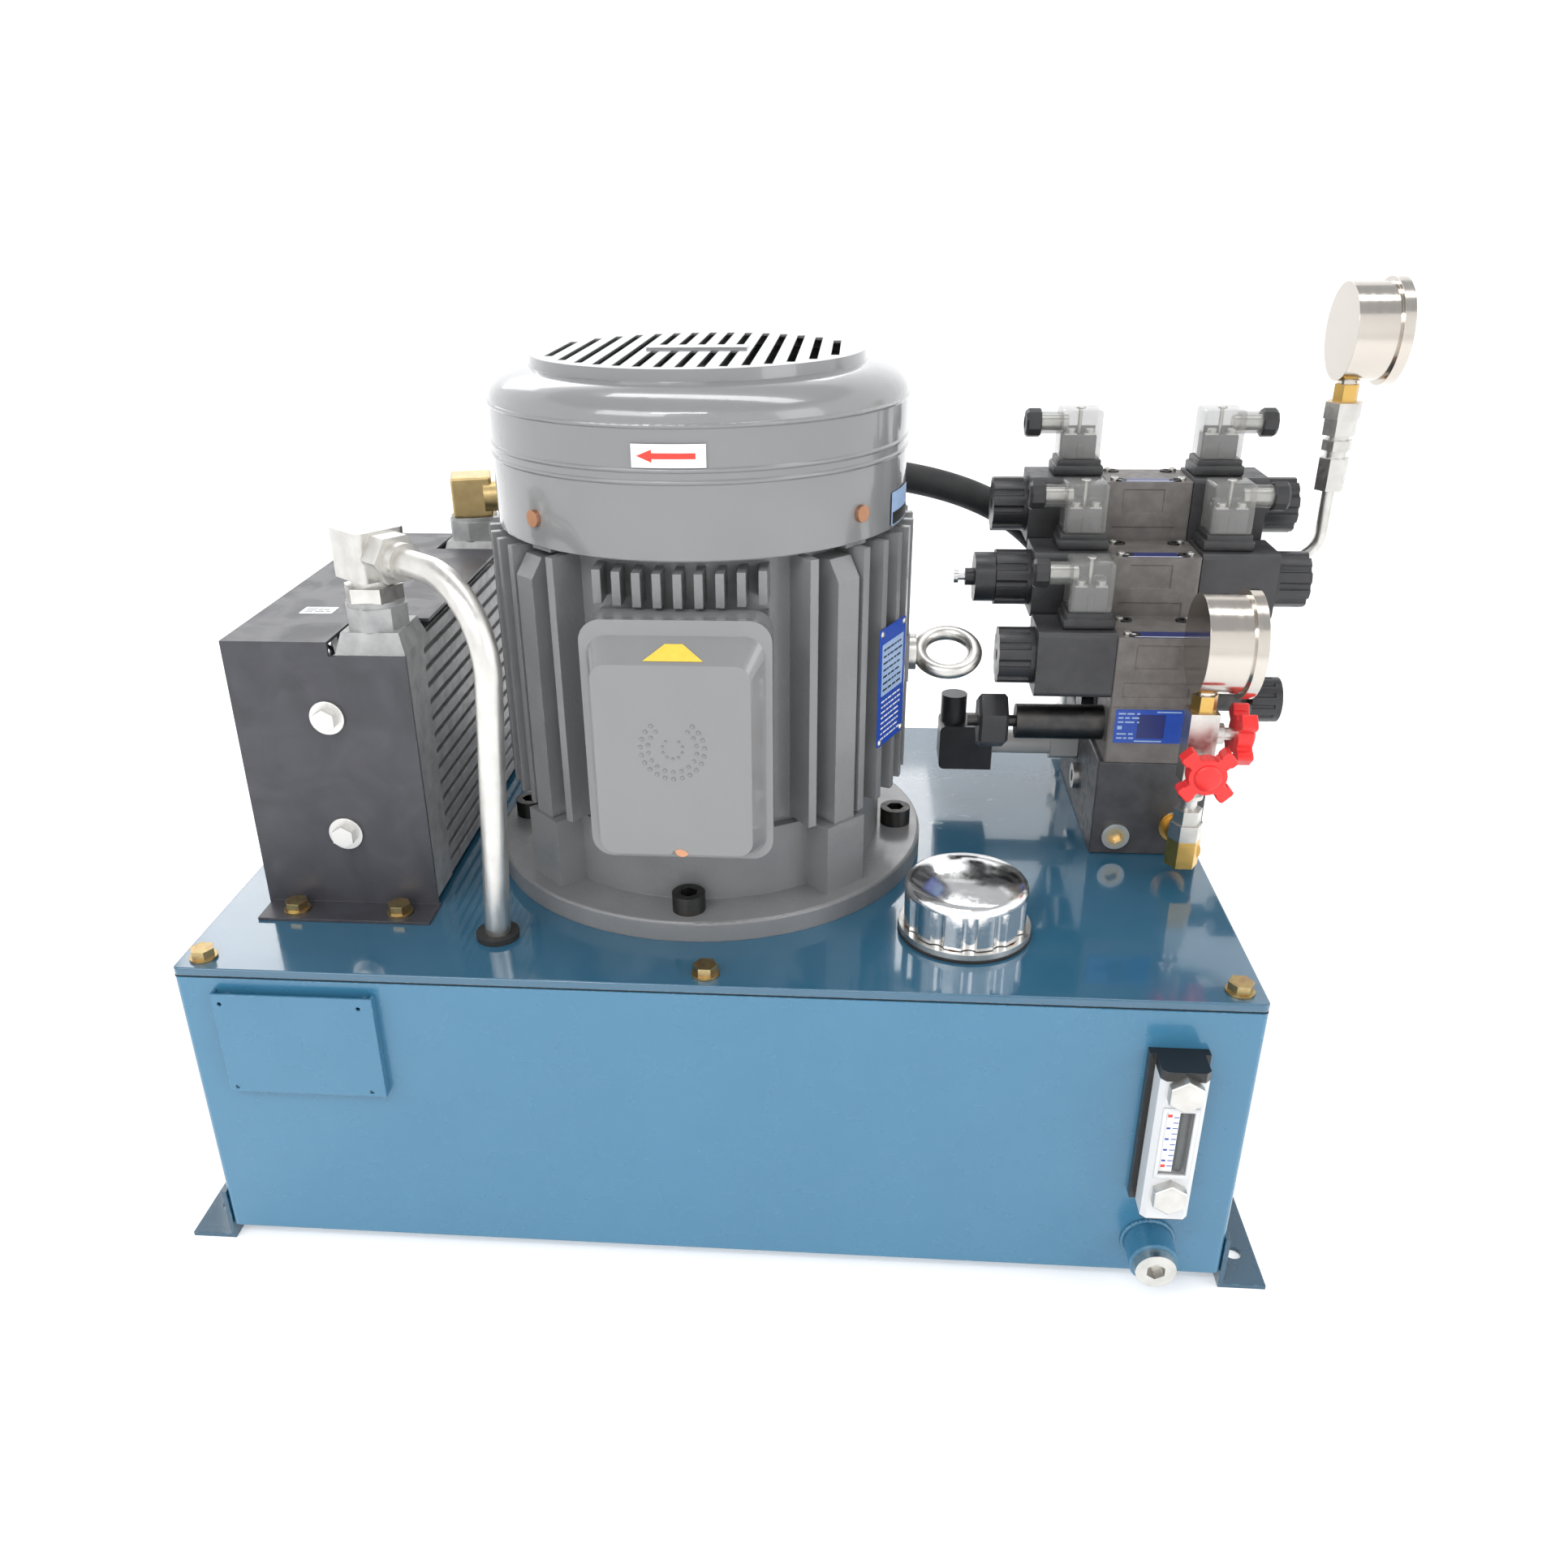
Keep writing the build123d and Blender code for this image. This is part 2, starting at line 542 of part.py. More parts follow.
eye_centre_x = MOTOR[0] + 163
with BuildPart() as eye_bolt:
    rod(12, (MOTOR[0] + 137, MOTOR[1], boss_z), (1, 0, 0), 5)
    rod(6, (MOTOR[0] + 137, MOTOR[1], boss_z), (-1, 0, 0), 15)
    tilt = radians(26)
    with Locations(Plane(origin=(eye_centre_x, MOTOR[1], boss_z), z_dir=(0, -sin(tilt), cos(tilt)))):
        Torus(18.5, 4.9)
finish(eye_bolt, "eye_bolt")

with BuildPart() as stator:
    ring(FRAME_BORE_R - 0.2, 76, (MOTOR[0], MOTOR[1], 300), (0, 0, 1), 118)
    ring(100, 80, (MOTOR[0], MOTOR[1], 284), (0, 0, 1), 17)
    ring(100, 80, (MOTOR[0], MOTOR[1], 417), (0, 0, 1), 18)
finish(stator, "stator")

with BuildPart() as motor_bearings:
    for low, high in (lower_bearing, upper_bearing):
        ring(bearing_r, SHAFT_R + RUNNING, (MOTOR[0], MOTOR[1], low), (0, 0, 1), high - low)
finish(motor_bearings, "motor_bearings")

fan_seat = 474.0
with BuildPart() as rotor_shaft:
    post(SHAFT_R, (lower_bearing[0] - 2, fan_seat + 26), MOTOR)
    post(75, (302, 416), MOTOR)
    post(18, (lower_bearing[1] + 1, upper_bearing[0] - 1), MOTOR)
    post(PUMP_SHAFT_R + 0.05, (lower_bearing[0] - 3, 306), MOTOR, Mode.SUBTRACT)
finish(rotor_shaft, "rotor_shaft")

with BuildPart() as cooling_fan:
    post(98, (fan_seat, fan_seat + 4), MOTOR)
    post(26, (fan_seat, fan_seat + 24), MOTOR)
    for blade in range(8):
        with Locations(Location((MOTOR[0], MOTOR[1], fan_seat + 3), (0, 0, 45 * blade))):
            with Locations((64, 0, 0)):
                Box(80, 4, 38, align=ON_BASE)
    post(SHAFT_R + 0.02, (fan_seat - 1, fan_seat + 45), MOTOR, Mode.SUBTRACT)
finish(cooling_fan, "cooling_fan")

# ---------------------------------------------------------------- pump, hanging in the tank
gear_distance = GEAR_MODULE * GEAR_TEETH
driven_axis = (MOTOR[0], MOTOR[1] + gear_distance)
gear_tip = gear_distance / 2 + GEAR_MODULE
gear_root = gear_distance / 2 - 1.3 * GEAR_MODULE
gear_high = GEAR_LOW + GEAR_WIDTH


def gear(centre, turn):
    """Spur gear with straight-flanked teeth, added to the open part between the gear faces."""
    post(gear_root + 0.3, (GEAR_LOW, gear_high), centre)
    for tooth in range(GEAR_TEETH):
        angle = turn + 360 / GEAR_TEETH * tooth
        tooth_plane = Plane(origin=(centre[0], centre[1], GEAR_LOW), z_dir=(0, 0, 1)).rotated((0, 0, angle))
        with BuildSketch(tooth_plane) as tooth_face:
            with BuildLine():
                Polyline(
                    (gear_root - 1, -2.7),
                    (gear_tip, -0.9),
                    (gear_tip, 0.9),
                    (gear_root - 1, 2.7),
                    close=True,
                )
            make_face()
        extrude(tooth_face.sketch, amount=GEAR_WIDTH)


with BuildPart() as pump_drive_gear:
    gear(MOTOR, 0)
    post(PUMP_SHAFT_R, (GEAR_LOW - 14, 296), MOTOR)
finish(pump_drive_gear, "pump_drive_gear")

with BuildPart() as pump_driven_gear:
    gear(driven_axis, 15)
    post(PUMP_SHAFT_R, (GEAR_LOW - 14, gear_high + 14), driven_axis)
finish(pump_driven_gear, "pump_driven_gear")

pump_low = GEAR_LOW - 0.1
pump_top = COVER_TOP
side_port_z = GEAR_LOW + 12
pump_x = (MOTOR[0] - 46, MOTOR[0] + 46)
with BuildPart() as pump_body:
    post(70, (pump_top - 14, pump_top), MOTOR)
    block(pump_x, (MOTOR[1] - 40, driven_axis[1] + 40), (pump_low, gear_high + 20))
    fillet(pump_body.edges().filter_by(Axis.Z).filter_by(GeomType.LINE), 10)
    post(42, (gear_high + 19, pump_top), MOTOR)
    for axis in (MOTOR, driven_axis):
        post(gear_tip + 0.3, (pump_low - 1, gear_high + 0.1), axis, Mode.SUBTRACT)
        post(PUMP_SHAFT_R + RUNNING, (gear_high, gear_high + 15), axis, Mode.SUBTRACT)
    post(PUMP_SHAFT_R + RUNNING, (gear_high, pump_top + 1), MOTOR, Mode.SUBTRACT)
    port_y = MOTOR[1] + gear_distance / 2
    rod(9, (pump_x[0] - 1, port_y, side_port_z), (1, 0, 0), 30, mode=Mode.SUBTRACT)
    rod(7, (pump_x[1] + 1, port_y, side_port_z), (-1, 0, 0), 30, mode=Mode.SUBTRACT)
finish(pump_body, "pump_body")

with BuildPart() as pump_cover:
    block(pump_x, (MOTOR[1] - 40, driven_axis[1] + 40), (pump_low - 20, pump_low))
    fillet(pump_cover.edges().filter_by(Axis.Z), 10)
    for axis in (MOTOR, driven_axis):
        post(PUMP_SHAFT_R + RUNNING, (GEAR_LOW - 15, pump_low + 1), axis, Mode.SUBTRACT)
finish(pump_cover, "pump_cover")

strainer_x = pump_x[0] - 42
with BuildPart() as suction_strainer:
    post(34, (30, 100), (strainer_x, port_y))
    post(20, (100, 112), (strainer_x, port_y))
    with BuildLine(mode=Mode.PRIVATE) as suction_path:
        FilletPolyline(
            (pump_x[0], port_y, side_port_z),
            (strainer_x, port_y, side_port_z),
            (strainer_x, port_y, 111),
            radius=22,
        )
    with BuildSketch(Plane(origin=(pump_x[0], port_y, side_port_z), z_dir=(-1, 0, 0))):
        Circle(11)
    sweep(path=suction_path.wires()[0])
finish(suction_strainer, "suction_strainer")

with BuildPart() as pressure_pipe:
    with BuildLine(mode=Mode.PRIVATE) as pressure_path:
        FilletPolyline(
            (pump_x[1], port_y, side_port_z),
            (180, port_y, side_port_z),
            (pressure_port[0], pressure_port[1], side_port_z),
            (pressure_port[0], pressure_port[1], COVER_TOP),
            radius=30,
        )
    with BuildSketch(Plane(origin=(pump_x[1], port_y, side_port_z), z_dir=(1, 0, 0))):
        Circle(8)
    sweep(path=pressure_path.wires()[0])
finish(pressure_pipe, "pressure_pipe")

# ---------------------------------------------------------------- air-oil cooler
header_front = (COOLER_Y[0] + 2, COOLER_Y[0] + 2 + HEADER_DEPTH)
header_rear = (COOLER_Y[1] - 2 - HEADER_DEPTH, COOLER_Y[1] - 2)
core_low = COVER_TOP + 4
bar_count = 15
bar_pitch = (CORE_TOP - core_low - 8) / (bar_count - 1)
with BuildPart() as cooler_core:
    for header in (header_front, header_rear):
        block(CORE_X, header, (core_low, CORE_TOP))
    block((CORE_X[0] + 4, CORE_X[1] - 4), (header_front[1] - 1, header_rear[0] + 1), (core_low, CORE_TOP))
    for bar in range(bar_count):
        bar_z = core_low + bar * bar_pitch
        block((CORE_X[0], CORE_X[1] - 1), (header_front[1] - 1, header_rear[0] + 1), (bar_z, bar_z + 7.5))
    for port_y_pos in (FRONT_PORT_Y, REAR_PORT_Y):
        with BuildSketch(Plane.XY.offset(CORE_TOP)):
            with Locations((PORT_X, port_y_pos)):
                Rectangle(44, 44)
        with BuildSketch(Plane.XY.offset(CORE_TOP + 13)):
            with Locations((PORT_X, port_y_pos)):
                Rectangle(36, 36)
        loft()
        prism(8, 36, (PORT_X, port_y_pos, CORE_TOP + 13), (0, 0, 1), 14)
        post(17.5, (CORE_TOP + 27, CORE_TOP + 30), (PORT_X, port_y_pos))
        post(11, (CORE_TOP - 20, CORE_TOP + 31), (PORT_X, port_y_pos), Mode.SUBTRACT)
finish(cooler_core, "cooler_core")

sheet = 2.0
with BuildPart() as cooler_shroud:
    block(COOLER_X, COOLER_Y, (COVER_TOP, COOLER_TOP))
    block(
        (COOLER_X[0] + sheet, COOLER_X[1] + 1),
        (COOLER_Y[0] + sheet, COOLER_Y[1] - sheet),
        (COVER_TOP - 1, COOLER_TOP - sheet),
        Mode.SUBTRACT,
    )
    for port_y_pos, towards in ((FRONT_PORT_Y, -1), (REAR_PORT_Y, 1)):
        notch_y = sorted((port_y_pos - towards * 25, port_y_pos + towards * 30))
        block((PORT_X - 25, COOLER_X[1] + 1), notch_y, (CORE_TOP, COOLER_TOP + 1), Mode.SUBTRACT)
    rod(76, (COOLER_X[0] - 1, COOLER_FAN[0], COOLER_FAN[1]), (1, 0, 0), 5, mode=Mode.SUBTRACT)
    for flange_y in ((COOLER_Y[0] - 24, COOLER_Y[0] + sheet), (COOLER_Y[1] - sheet, COOLER_Y[1] + 24)):
        block((COOLER_X[0] + 2, COOLER_X[1] + 1), flange_y, (COVER_TOP, COVER_TOP + sheet))
    for hole_x in (-276.0, -207.0):
        for hole_y in (COOLER_Y[0] - 12, COOLER_Y[1] + 12):
            post(4.2, (COVER_TOP - 1, COVER_TOP + 3), (hole_x, hole_y), Mode.SUBTRACT)
    for hole_z in (271.5, 351.5):
        for hole_y in (COOLER_Y[0] - 1, COOLER_Y[1] - 3):
            rod(4.2, (-239.5, hole_y, hole_z), (0, 1, 0), 4, mode=Mode.SUBTRACT)
finish(cooler_shroud, "cooler_shroud")

fan_y, fan_z = COOLER_FAN
with BuildPart() as cooler_fan_motor:
    rod(34, (-240, fan_y, fan_z), (-1, 0, 0), 24)
    block((-240, -236), (fan_y - 16, fan_y + 16), (COVER_TOP, COOLER_TOP - sheet))
    rod(4 + RUNNING, (-265, fan_y, fan_z), (1, 0, 0), 22, mode=Mode.SUBTRACT)
finish(cooler_fan_motor, "cooler_fan_motor")

with BuildPart() as cooler_fan:
    rod(24, (-290, fan_y, fan_z), (1, 0, 0), 20)
    for blade in range(7):
        with Locations(Plane(origin=(-280, fan_y, fan_z), x_dir=(0, 1, 0), z_dir=(1, 0, 0))):
            with Locations(Location((0, 0, 0), (0, 0, 360 / 7 * blade))):
                with Locations(Location((47, 0, 0), (35, 0, 0))):
                    Box(50, 26, 2.4)
    rod(4, (-272, fan_y, fan_z), (1, 0, 0), 26)
finish(cooler_fan, "cooler_fan")

guard_x = COOLER_X[0] - 2.2
with BuildPart() as fan_guard:
    for guard_r in (14, 28, 42, 56, 70, 82):
        with Locations(Plane(origin=(guard_x, fan_y, fan_z), z_dir=(1, 0, 0))):
            Torus(guard_r, 1.5)
    for strut in (45, 135, 225, 315):
        along = (0, cos(radians(strut)), sin(radians(strut)))
        rod(2.0, (guard_x, fan_y, fan_z), along, 86)
    for strut in (45, 135, 225, 315):
        eye_y = fan_y + 88 * cos(radians(strut))
        eye_z = fan_z + 88 * sin(radians(strut))
        rod(5, (COOLER_X[0] - 3.8, eye_y, eye_z), (1, 0, 0), 3.8)
finish(fan_guard, "fan_guard")

cover_bolt = hex_bolt(13, 5.5, 8.5, 1.6, 4, 16)
cooler_bolt = hex_bolt(13, 5.5, 8.5, 1.6, 4, 2)
core_bolt = hex_bolt(13, 6, 11, 2, 4, 2)
with BuildPart() as hex_bolts:
    for bolt_x, bolt_y in cover_bolt_places:
        with Locations((bolt_x, bolt_y, COVER_TOP)):
            add(cover_bolt)
    for bolt_x in (-276.0, -207.0):
        for bolt_y in (COOLER_Y[0] - 12, COOLER_Y[1] + 12):
            with Locations((bolt_x, bolt_y, COVER_TOP + sheet)):
                add(cooler_bolt)
    for bolt_z in (271.5, 351.5):
        with Locations(Plane(origin=(-239.5, COOLER_Y[0], bolt_z), z_dir=(0, -1, 0))):
            add(core_bolt)
        with Locations(Plane(origin=(-239.5, COOLER_Y[1], bolt_z), z_dir=(0, 1, 0))):
            add(core_bolt)
finish(hex_bolts, "hex_bolts")

# ---------------------------------------------------------------- return line
hose_stop = Vector(*HOSE_ROUTE[-1])
inlet_dir = (Vector(*HOSE_ROUTE[-2]) - hose_stop).normalized()
t_port = (HOSE_ROUTE[0][0], MANIFOLD_Y[1], 238.0)
with BuildPart() as steel_fittings:
    prism(6, 32, (PORT_X, FRONT_PORT_Y, port_seat), (0, 0, 1), 9)
    post(13, (port_seat + 9, RETURN_ARM_Z - 15), (PORT_X, FRONT_PORT_Y))
    with Locations(Plane(origin=elbow_axis, x_dir=arm, z_dir=(0, 0, 1))):
        Box(34, 33, 30)
    fillet(steel_fittings.edges().filter_by(Axis.Z).group_by(SortBy.LENGTH)[-1], 4)
    prism(6, 27, elbow_axis + arm * 17, arm, 15)
    rod(11, elbow_axis + arm * 32, arm, 9)
    prism(6, 27, t_port, (0, 1, 0), 12)
    with Locations((t_port[0], HOSE_ROUTE[0][1], t_port[2])):
        Box(26, 26, 24)
    post(10, (t_port[2] + 12, t_port[2] + 16), HOSE_ROUTE[0])
    prism(6, 27, (*HOSE_ROUTE[0][:2], t_port[2] + 16), (0, 0, 1), 10)
    post(13, (t_port[2] + 26, HOSE_ROUTE[0][2]), HOSE_ROUTE[0])
    rod(13, hose_stop - inlet_dir * 12, inlet_dir, 12)
    prism(6, 27, hose_stop - inlet_dir * 22, inlet_dir, 10)
finish(steel_fittings, "steel_fittings")

brass_z = hose_stop.Z
brass_seat = hose_stop - inlet_dir * 22
with BuildPart() as inlet_elbow:
    with Locations(Location((PORT_X, REAR_PORT_Y, brass_z), (0, 0, degrees(inlet_dir.Y / inlet_dir.X)))):
        Box(30, 30, 30)
    fillet(inlet_elbow.edges(), 2)
    post(12, (port_seat, brass_z), (PORT_X, REAR_PORT_Y))
    rod(11, brass_seat - inlet_dir * 14, inlet_dir, 14)
finish(inlet_elbow, "inlet_elbow")

with BuildPart() as return_tube:
    with BuildLine(mode=Mode.PRIVATE) as return_path:
        FilletPolyline(arm_end, bend_corner, tube_end, radius=50)
    with BuildSketch(Plane(origin=arm_end, z_dir=bend_corner - arm_end)):
        Circle(RETURN_R)
    sweep(path=return_path.wires()[0])
finish(return_tube, "return_tube")


def bend_radii(route):
    """Radius of each tangent arc: 0.45 of the shorter run over the tangent of half the turn."""
    points = [Vector(*point) for point in route]
    radii = []
    for before, here, after in zip(points, points[1:], points[2:]):
        turn = (here - before).get_angle(after - here)
        shorter = min((here - before).length, (after - here).length)
        radii.append(0.45 * shorter / tan(radians(turn / 2)))
    return radii


hose_radii = bend_radii(HOSE_ROUTE)
print("hose bend radii", [round(value) for value in hose_radii])
with BuildPart() as return_hose:
    with BuildLine(mode=Mode.PRIVATE) as hose_path:
        FilletPolyline(*HOSE_ROUTE, radius=hose_radii)
    first_run = Vector(*HOSE_ROUTE[1]) - Vector(*HOSE_ROUTE[0])
    with BuildSketch(Plane(origin=HOSE_ROUTE[0], z_dir=first_run)):
        Circle(HOSE_R)
    sweep(path=hose_path.wires()[0])
hose_length = hose_path.wires()[0].length
hose_volume = hose_length * pi * HOSE_R**2
print("hose length", round(hose_length, 1), "volume ratio", return_hose.part.volume / hose_volume)
finish(return_hose, "return_hose")

# ---------------------------------------------------------------- manifold and port plugs
front_plug = (268.8, 233.2)
gauge_port = (FRONT_GAUGE[0] + 3, 241.0)
side_plug = (49.2, 245.7)
switch_port = (68.0, 264.0)
work_port_r = 8.3
work_port_depth = 16.0
# Each further port is this much shallower, so that no two port floors lie in one plane.
work_port_step = 0.6
valve_mid_x = (VALVE_X[0] + VALVE_X[1]) / 2
tie_places = [(valve_mid_x + sx * BOLT_X, sy * BOLT_Y) for sx in (-1, 1) for sy in (-1, 1)]
with BuildPart() as manifold_block:
    block(MANIFOLD_X, MANIFOLD_Y, (COVER_TOP, MANIFOLD_TOP - SEAL_GAP))
    chamfer(manifold_block.edges(), 0.8)
    for station, station_y in enumerate(STATION_Y):
        for row, port_z in enumerate((270.0, 238.0)):
            depth = work_port_depth - work_port_step * (2 * station + row)
            port_start = (MANIFOLD_X[1] + 1, station_y, port_z)
            rod(work_port_r, port_start, (-1, 0, 0), depth + 1, mode=Mode.SUBTRACT)
        for tie_x, tie_y in tie_places:
            post(2.6, (MANIFOLD_TOP - 14, MANIFOLD_TOP), (tie_x, station_y + tie_y), Mode.SUBTRACT)
    rod(6.6, (front_plug[0], MANIFOLD_Y[0] - 1, front_plug[1]), (0, 1, 0), 12, mode=Mode.SUBTRACT)
    rod(6.1, (gauge_port[0], MANIFOLD_Y[0] - 1, gauge_port[1]), (0, 1, 0), 12, mode=Mode.SUBTRACT)
    rod(6.6, (MANIFOLD_X[0] - 1, side_plug[0], side_plug[1]), (1, 0, 0), 12, mode=Mode.SUBTRACT)
    rod(6.1, (MANIFOLD_X[0] - 1, switch_port[0], switch_port[1]), (1, 0, 0), 12, mode=Mode.SUBTRACT)
    post(7, (COVER_TOP - 1, COVER_TOP + 24), pressure_port, Mode.SUBTRACT)
finish(manifold_block, "manifold_block")

manifold_plug = hex_plug(9.5, 4, 6.5, 9)
drain_plug = hex_plug(12.5, 7, 7.9, 12)
with BuildPart() as port_plugs:
    with Locations(Plane(origin=(front_plug[0], MANIFOLD_Y[0], front_plug[1]), z_dir=(0, -1, 0))):
        add(manifold_plug)
    with Locations(Plane(origin=(MANIFOLD_X[0], side_plug[0], side_plug[1]), z_dir=(-1, 0, 0))):
        add(manifold_plug)
    with Locations(Plane(origin=(drain[0], drain_face, drain[1]), z_dir=(0, -1, 0))):
        add(drain_plug)
finish(port_plugs, "port_plugs")

# ---------------------------------------------------------------- sandwich plates and cartridges
relief_z = MANIFOLD_TOP + PLATE_HEIGHT / 2
cartridge_bore = 8.0
plate_places = [
    (station_y, MANIFOLD_TOP + level * PLATE_HEIGHT)
    for station_y, plates in zip(STATION_Y, STACK_PLATES)
    for level in range(plates)
]
with BuildPart() as sandwich_modules:
    for station_y, plate_z_low in plate_places:
        block(
            VALVE_X,
            (station_y - VALVE_WIDTH / 2, station_y + VALVE_WIDTH / 2),
            (plate_z_low, plate_z_low + PLATE_HEIGHT - SEAL_GAP),
        )
    chamfer(sandwich_modules.edges().filter_by(Axis.Z), 1.2)
    for station_y in STATION_Y:
        for tie_x, tie_y in tie_places:
            post(2.7, (MANIFOLD_TOP - 1, MANIFOLD_TOP + 125), (tie_x, station_y + tie_y), Mode.SUBTRACT)
    for station_y, plate_z_low in plate_places:
        bore_z = plate_z_low + PLATE_HEIGHT / 2
        rod(cartridge_bore, (VALVE_X[0] - 1, station_y, bore_z), (1, 0, 0), 17, mode=Mode.SUBTRACT)
        rod(cartridge_bore, (VALVE_X[1] + 1, station_y, bore_z), (-1, 0, 0), 17, mode=Mode.SUBTRACT)
finish(sandwich_modules, "sandwich_modules")

knob_left_x = 191.0
knob_right_x = 366.0
gauge_tap = (STATION_Y[2], MANIFOLD_TOP + 2.5 * PLATE_HEIGHT)
with BuildPart() as valve_cartridges:
    for station_y, plate_z_low in plate_places:
        bore_z = plate_z_low + PLATE_HEIGHT / 2
        for side, face in ((-1, VALVE_X[0]), (1, VALVE_X[1])):
            start = (face, station_y, bore_z)
            rod(cartridge_bore - 0.1, start, (-side, 0, 0), 14)
            at_knob_left = side < 0 and station_y == STATION_Y[0]
            at_knob_right = side > 0 and station_y == STATION_Y[1] and plate_z_low == MANIFOLD_TOP
            at_gauge_tap = side > 0 and (station_y, bore_z) == gauge_tap
            if at_knob_left:
                rod(12, start, (-1, 0, 0), VALVE_X[0] - knob_left_x - 6)
                rod(4, (knob_left_x + 6, station_y, bore_z), (-1, 0, 0), 33)
            elif at_knob_right:
                prism(6, 24, start, (1, 0, 0), 12)
                rod(9, (VALVE_X[1] + 12, station_y, bore_z), (1, 0, 0), 32)
                rod(4, (VALVE_X[1] + 44, station_y, bore_z), (1, 0, 0), 16)
            elif at_gauge_tap:
                prism(6, 19, start, (1, 0, 0), 12)
            else:
                prism(6, 22, start, (side, 0, 0), 8)
finish(valve_cartridges, "valve_cartridges")

with BuildPart() as relief_knob_left:
    prism(6, 34, (knob_left_x, STATION_Y[0], relief_z), (-1, 0, 0), 20)
    chamfer(relief_knob_left.faces().filter_by(Axis.X).edges(), 2)
    rod(4 + RUNNING, (knob_left_x + 1, STATION_Y[0], relief_z), (-1, 0, 0), 22, mode=Mode.SUBTRACT)
finish(relief_knob_left, "relief_knob_left")

with BuildPart() as relief_knob_right:
    rod(16, (knob_right_x, STATION_Y[1], relief_z), (1, 0, 0), 21)
    for groove in range(12):
        angle = radians(30 * groove)
        groove_y = STATION_Y[1] + 16.6 * cos(angle)
        groove_z = relief_z + 16.6 * sin(angle)
        rod(1.7, (knob_right_x - 1, groove_y, groove_z), (1, 0, 0), 17, mode=Mode.SUBTRACT)
    rod(4 + RUNNING, (knob_right_x - 1, STATION_Y[1], relief_z), (1, 0, 0), 14, mode=Mode.SUBTRACT)
finish(relief_knob_right, "relief_knob_right")

# ---------------------------------------------------------------- directional valves
coil_sides = ((0, -1), (1, -1), (1, 1), (2, -1), (2, 1))
tube_length = COIL_LENGTH + NUT_LENGTH - 2
spool_travel = 3.0
pin_bore = PIN_R + RUNNING


def coil_face(side):
    """X of the valve body's end face on one side."""
    return VALVE_X[0] if side < 0 else VALVE_X[1]


with BuildPart() as valve_bodies:
    for station, station_y in enumerate(STATION_Y):
        base = stack_base(station)
        across = (station_y - VALVE_WIDTH / 2, station_y + VALVE_WIDTH / 2)
        block(VALVE_X, across, (base, base + VALVE_HEIGHT))
    fillet(valve_bodies.edges().filter_by(Axis.Z), 2)
    for station, station_y in enumerate(STATION_Y):
        base = stack_base(station)
        front = station_y - VALVE_WIDTH / 2
        block((269, 297), (front - 1, front + 0.8), (base + 27, base + 43), Mode.SUBTRACT)
        block((263, 306), (front - 1, front + 0.8), (base + 7, base + 17), Mode.SUBTRACT)
        spool_start = (VALVE_X[0] - 1, station_y, spool_axis(station))
        rod(SPOOL_R + RUNNING, spool_start, (1, 0, 0), 62, mode=Mode.SUBTRACT)
        for tie_x, tie_y in tie_places:
            post(2.7, (base - 1, base + 60), (tie_x, station_y + tie_y), Mode.SUBTRACT)
            post(4.6, (base + VALVE_HEIGHT - 4, base + 60), (tie_x, station_y + tie_y), Mode.SUBTRACT)
finish(valve_bodies, "valve_bodies")

with BuildPart() as solenoid_coils:
    for station, side in coil_sides:
        station_y = STATION_Y[station]
        axis_z = spool_axis(station)
        span = sorted((coil_face(side) + side * 0.2, coil_face(side) + side * COIL_LENGTH))
        half = COIL_SIZE / 2
        block(span, (station_y - half, station_y + half), (axis_z - half, axis_z + half))
    fillet(solenoid_coils.edges().filter_by(Axis.X), 4)
    for station, side in coil_sides:
        start = (coil_face(side) - side, STATION_Y[station], spool_axis(station))
        rod(TUBE_R + 0.1, start, (side, 0, 0), 60, mode=Mode.SUBTRACT)
    for station, side in coil_sides:
        start = (coil_face(side), STATION_Y[station], spool_axis(station))
        rod(TUBE_R, start, (side, 0, 0), tube_length)
        rod(pin_bore, start, (side, 0, 0), tube_length + 1, mode=Mode.SUBTRACT)
        rod(6, start, (side, 0, 0), spool_travel + 1, mode=Mode.SUBTRACT)
    cap_start = (VALVE_X[1], STATION_Y[0], spool_axis(0))
    prism(6, 32, cap_start, (1, 0, 0), 14)
    rod(6, cap_start, (1, 0, 0), 10, mode=Mode.SUBTRACT)
finish(solenoid_coils, "solenoid_coils")

with BuildPart() as coil_nuts:
    for station, side in coil_sides:
        start = (coil_face(side) + side * (COIL_LENGTH + 0.1), STATION_Y[station], spool_axis(station))
        rod(NUT_R, start, (side, 0, 0), NUT_LENGTH - 0.1)
        for groove in range(10):
            angle = radians(36 * groove)
            groove_start = (
                start[0] + side * 3,
                start[1] + (NUT_R + 1) * cos(angle),
                start[2] + (NUT_R + 1) * sin(angle),
            )
            rod(3, groove_start, (side, 0, 0), 40, mode=Mode.SUBTRACT)
        rod(TUBE_R + 0.1, start, (side, 0, 0), tube_length - COIL_LENGTH, mode=Mode.SUBTRACT)
        rod(4, start, (side, 0, 0), 60, mode=Mode.SUBTRACT)
    boot_x = VALVE_X[0] - COIL_LENGTH - NUT_LENGTH - 0.2
    boot_start = (boot_x, STATION_Y[1], spool_axis(1))
    ring(17, pin_bore, boot_start, (-1, 0, 0), 14)
    ring(6, pin_bore, (boot_x - 14, STATION_Y[1], spool_axis(1)), (-1, 0, 0), 6)
finish(coil_nuts, "coil_nuts")

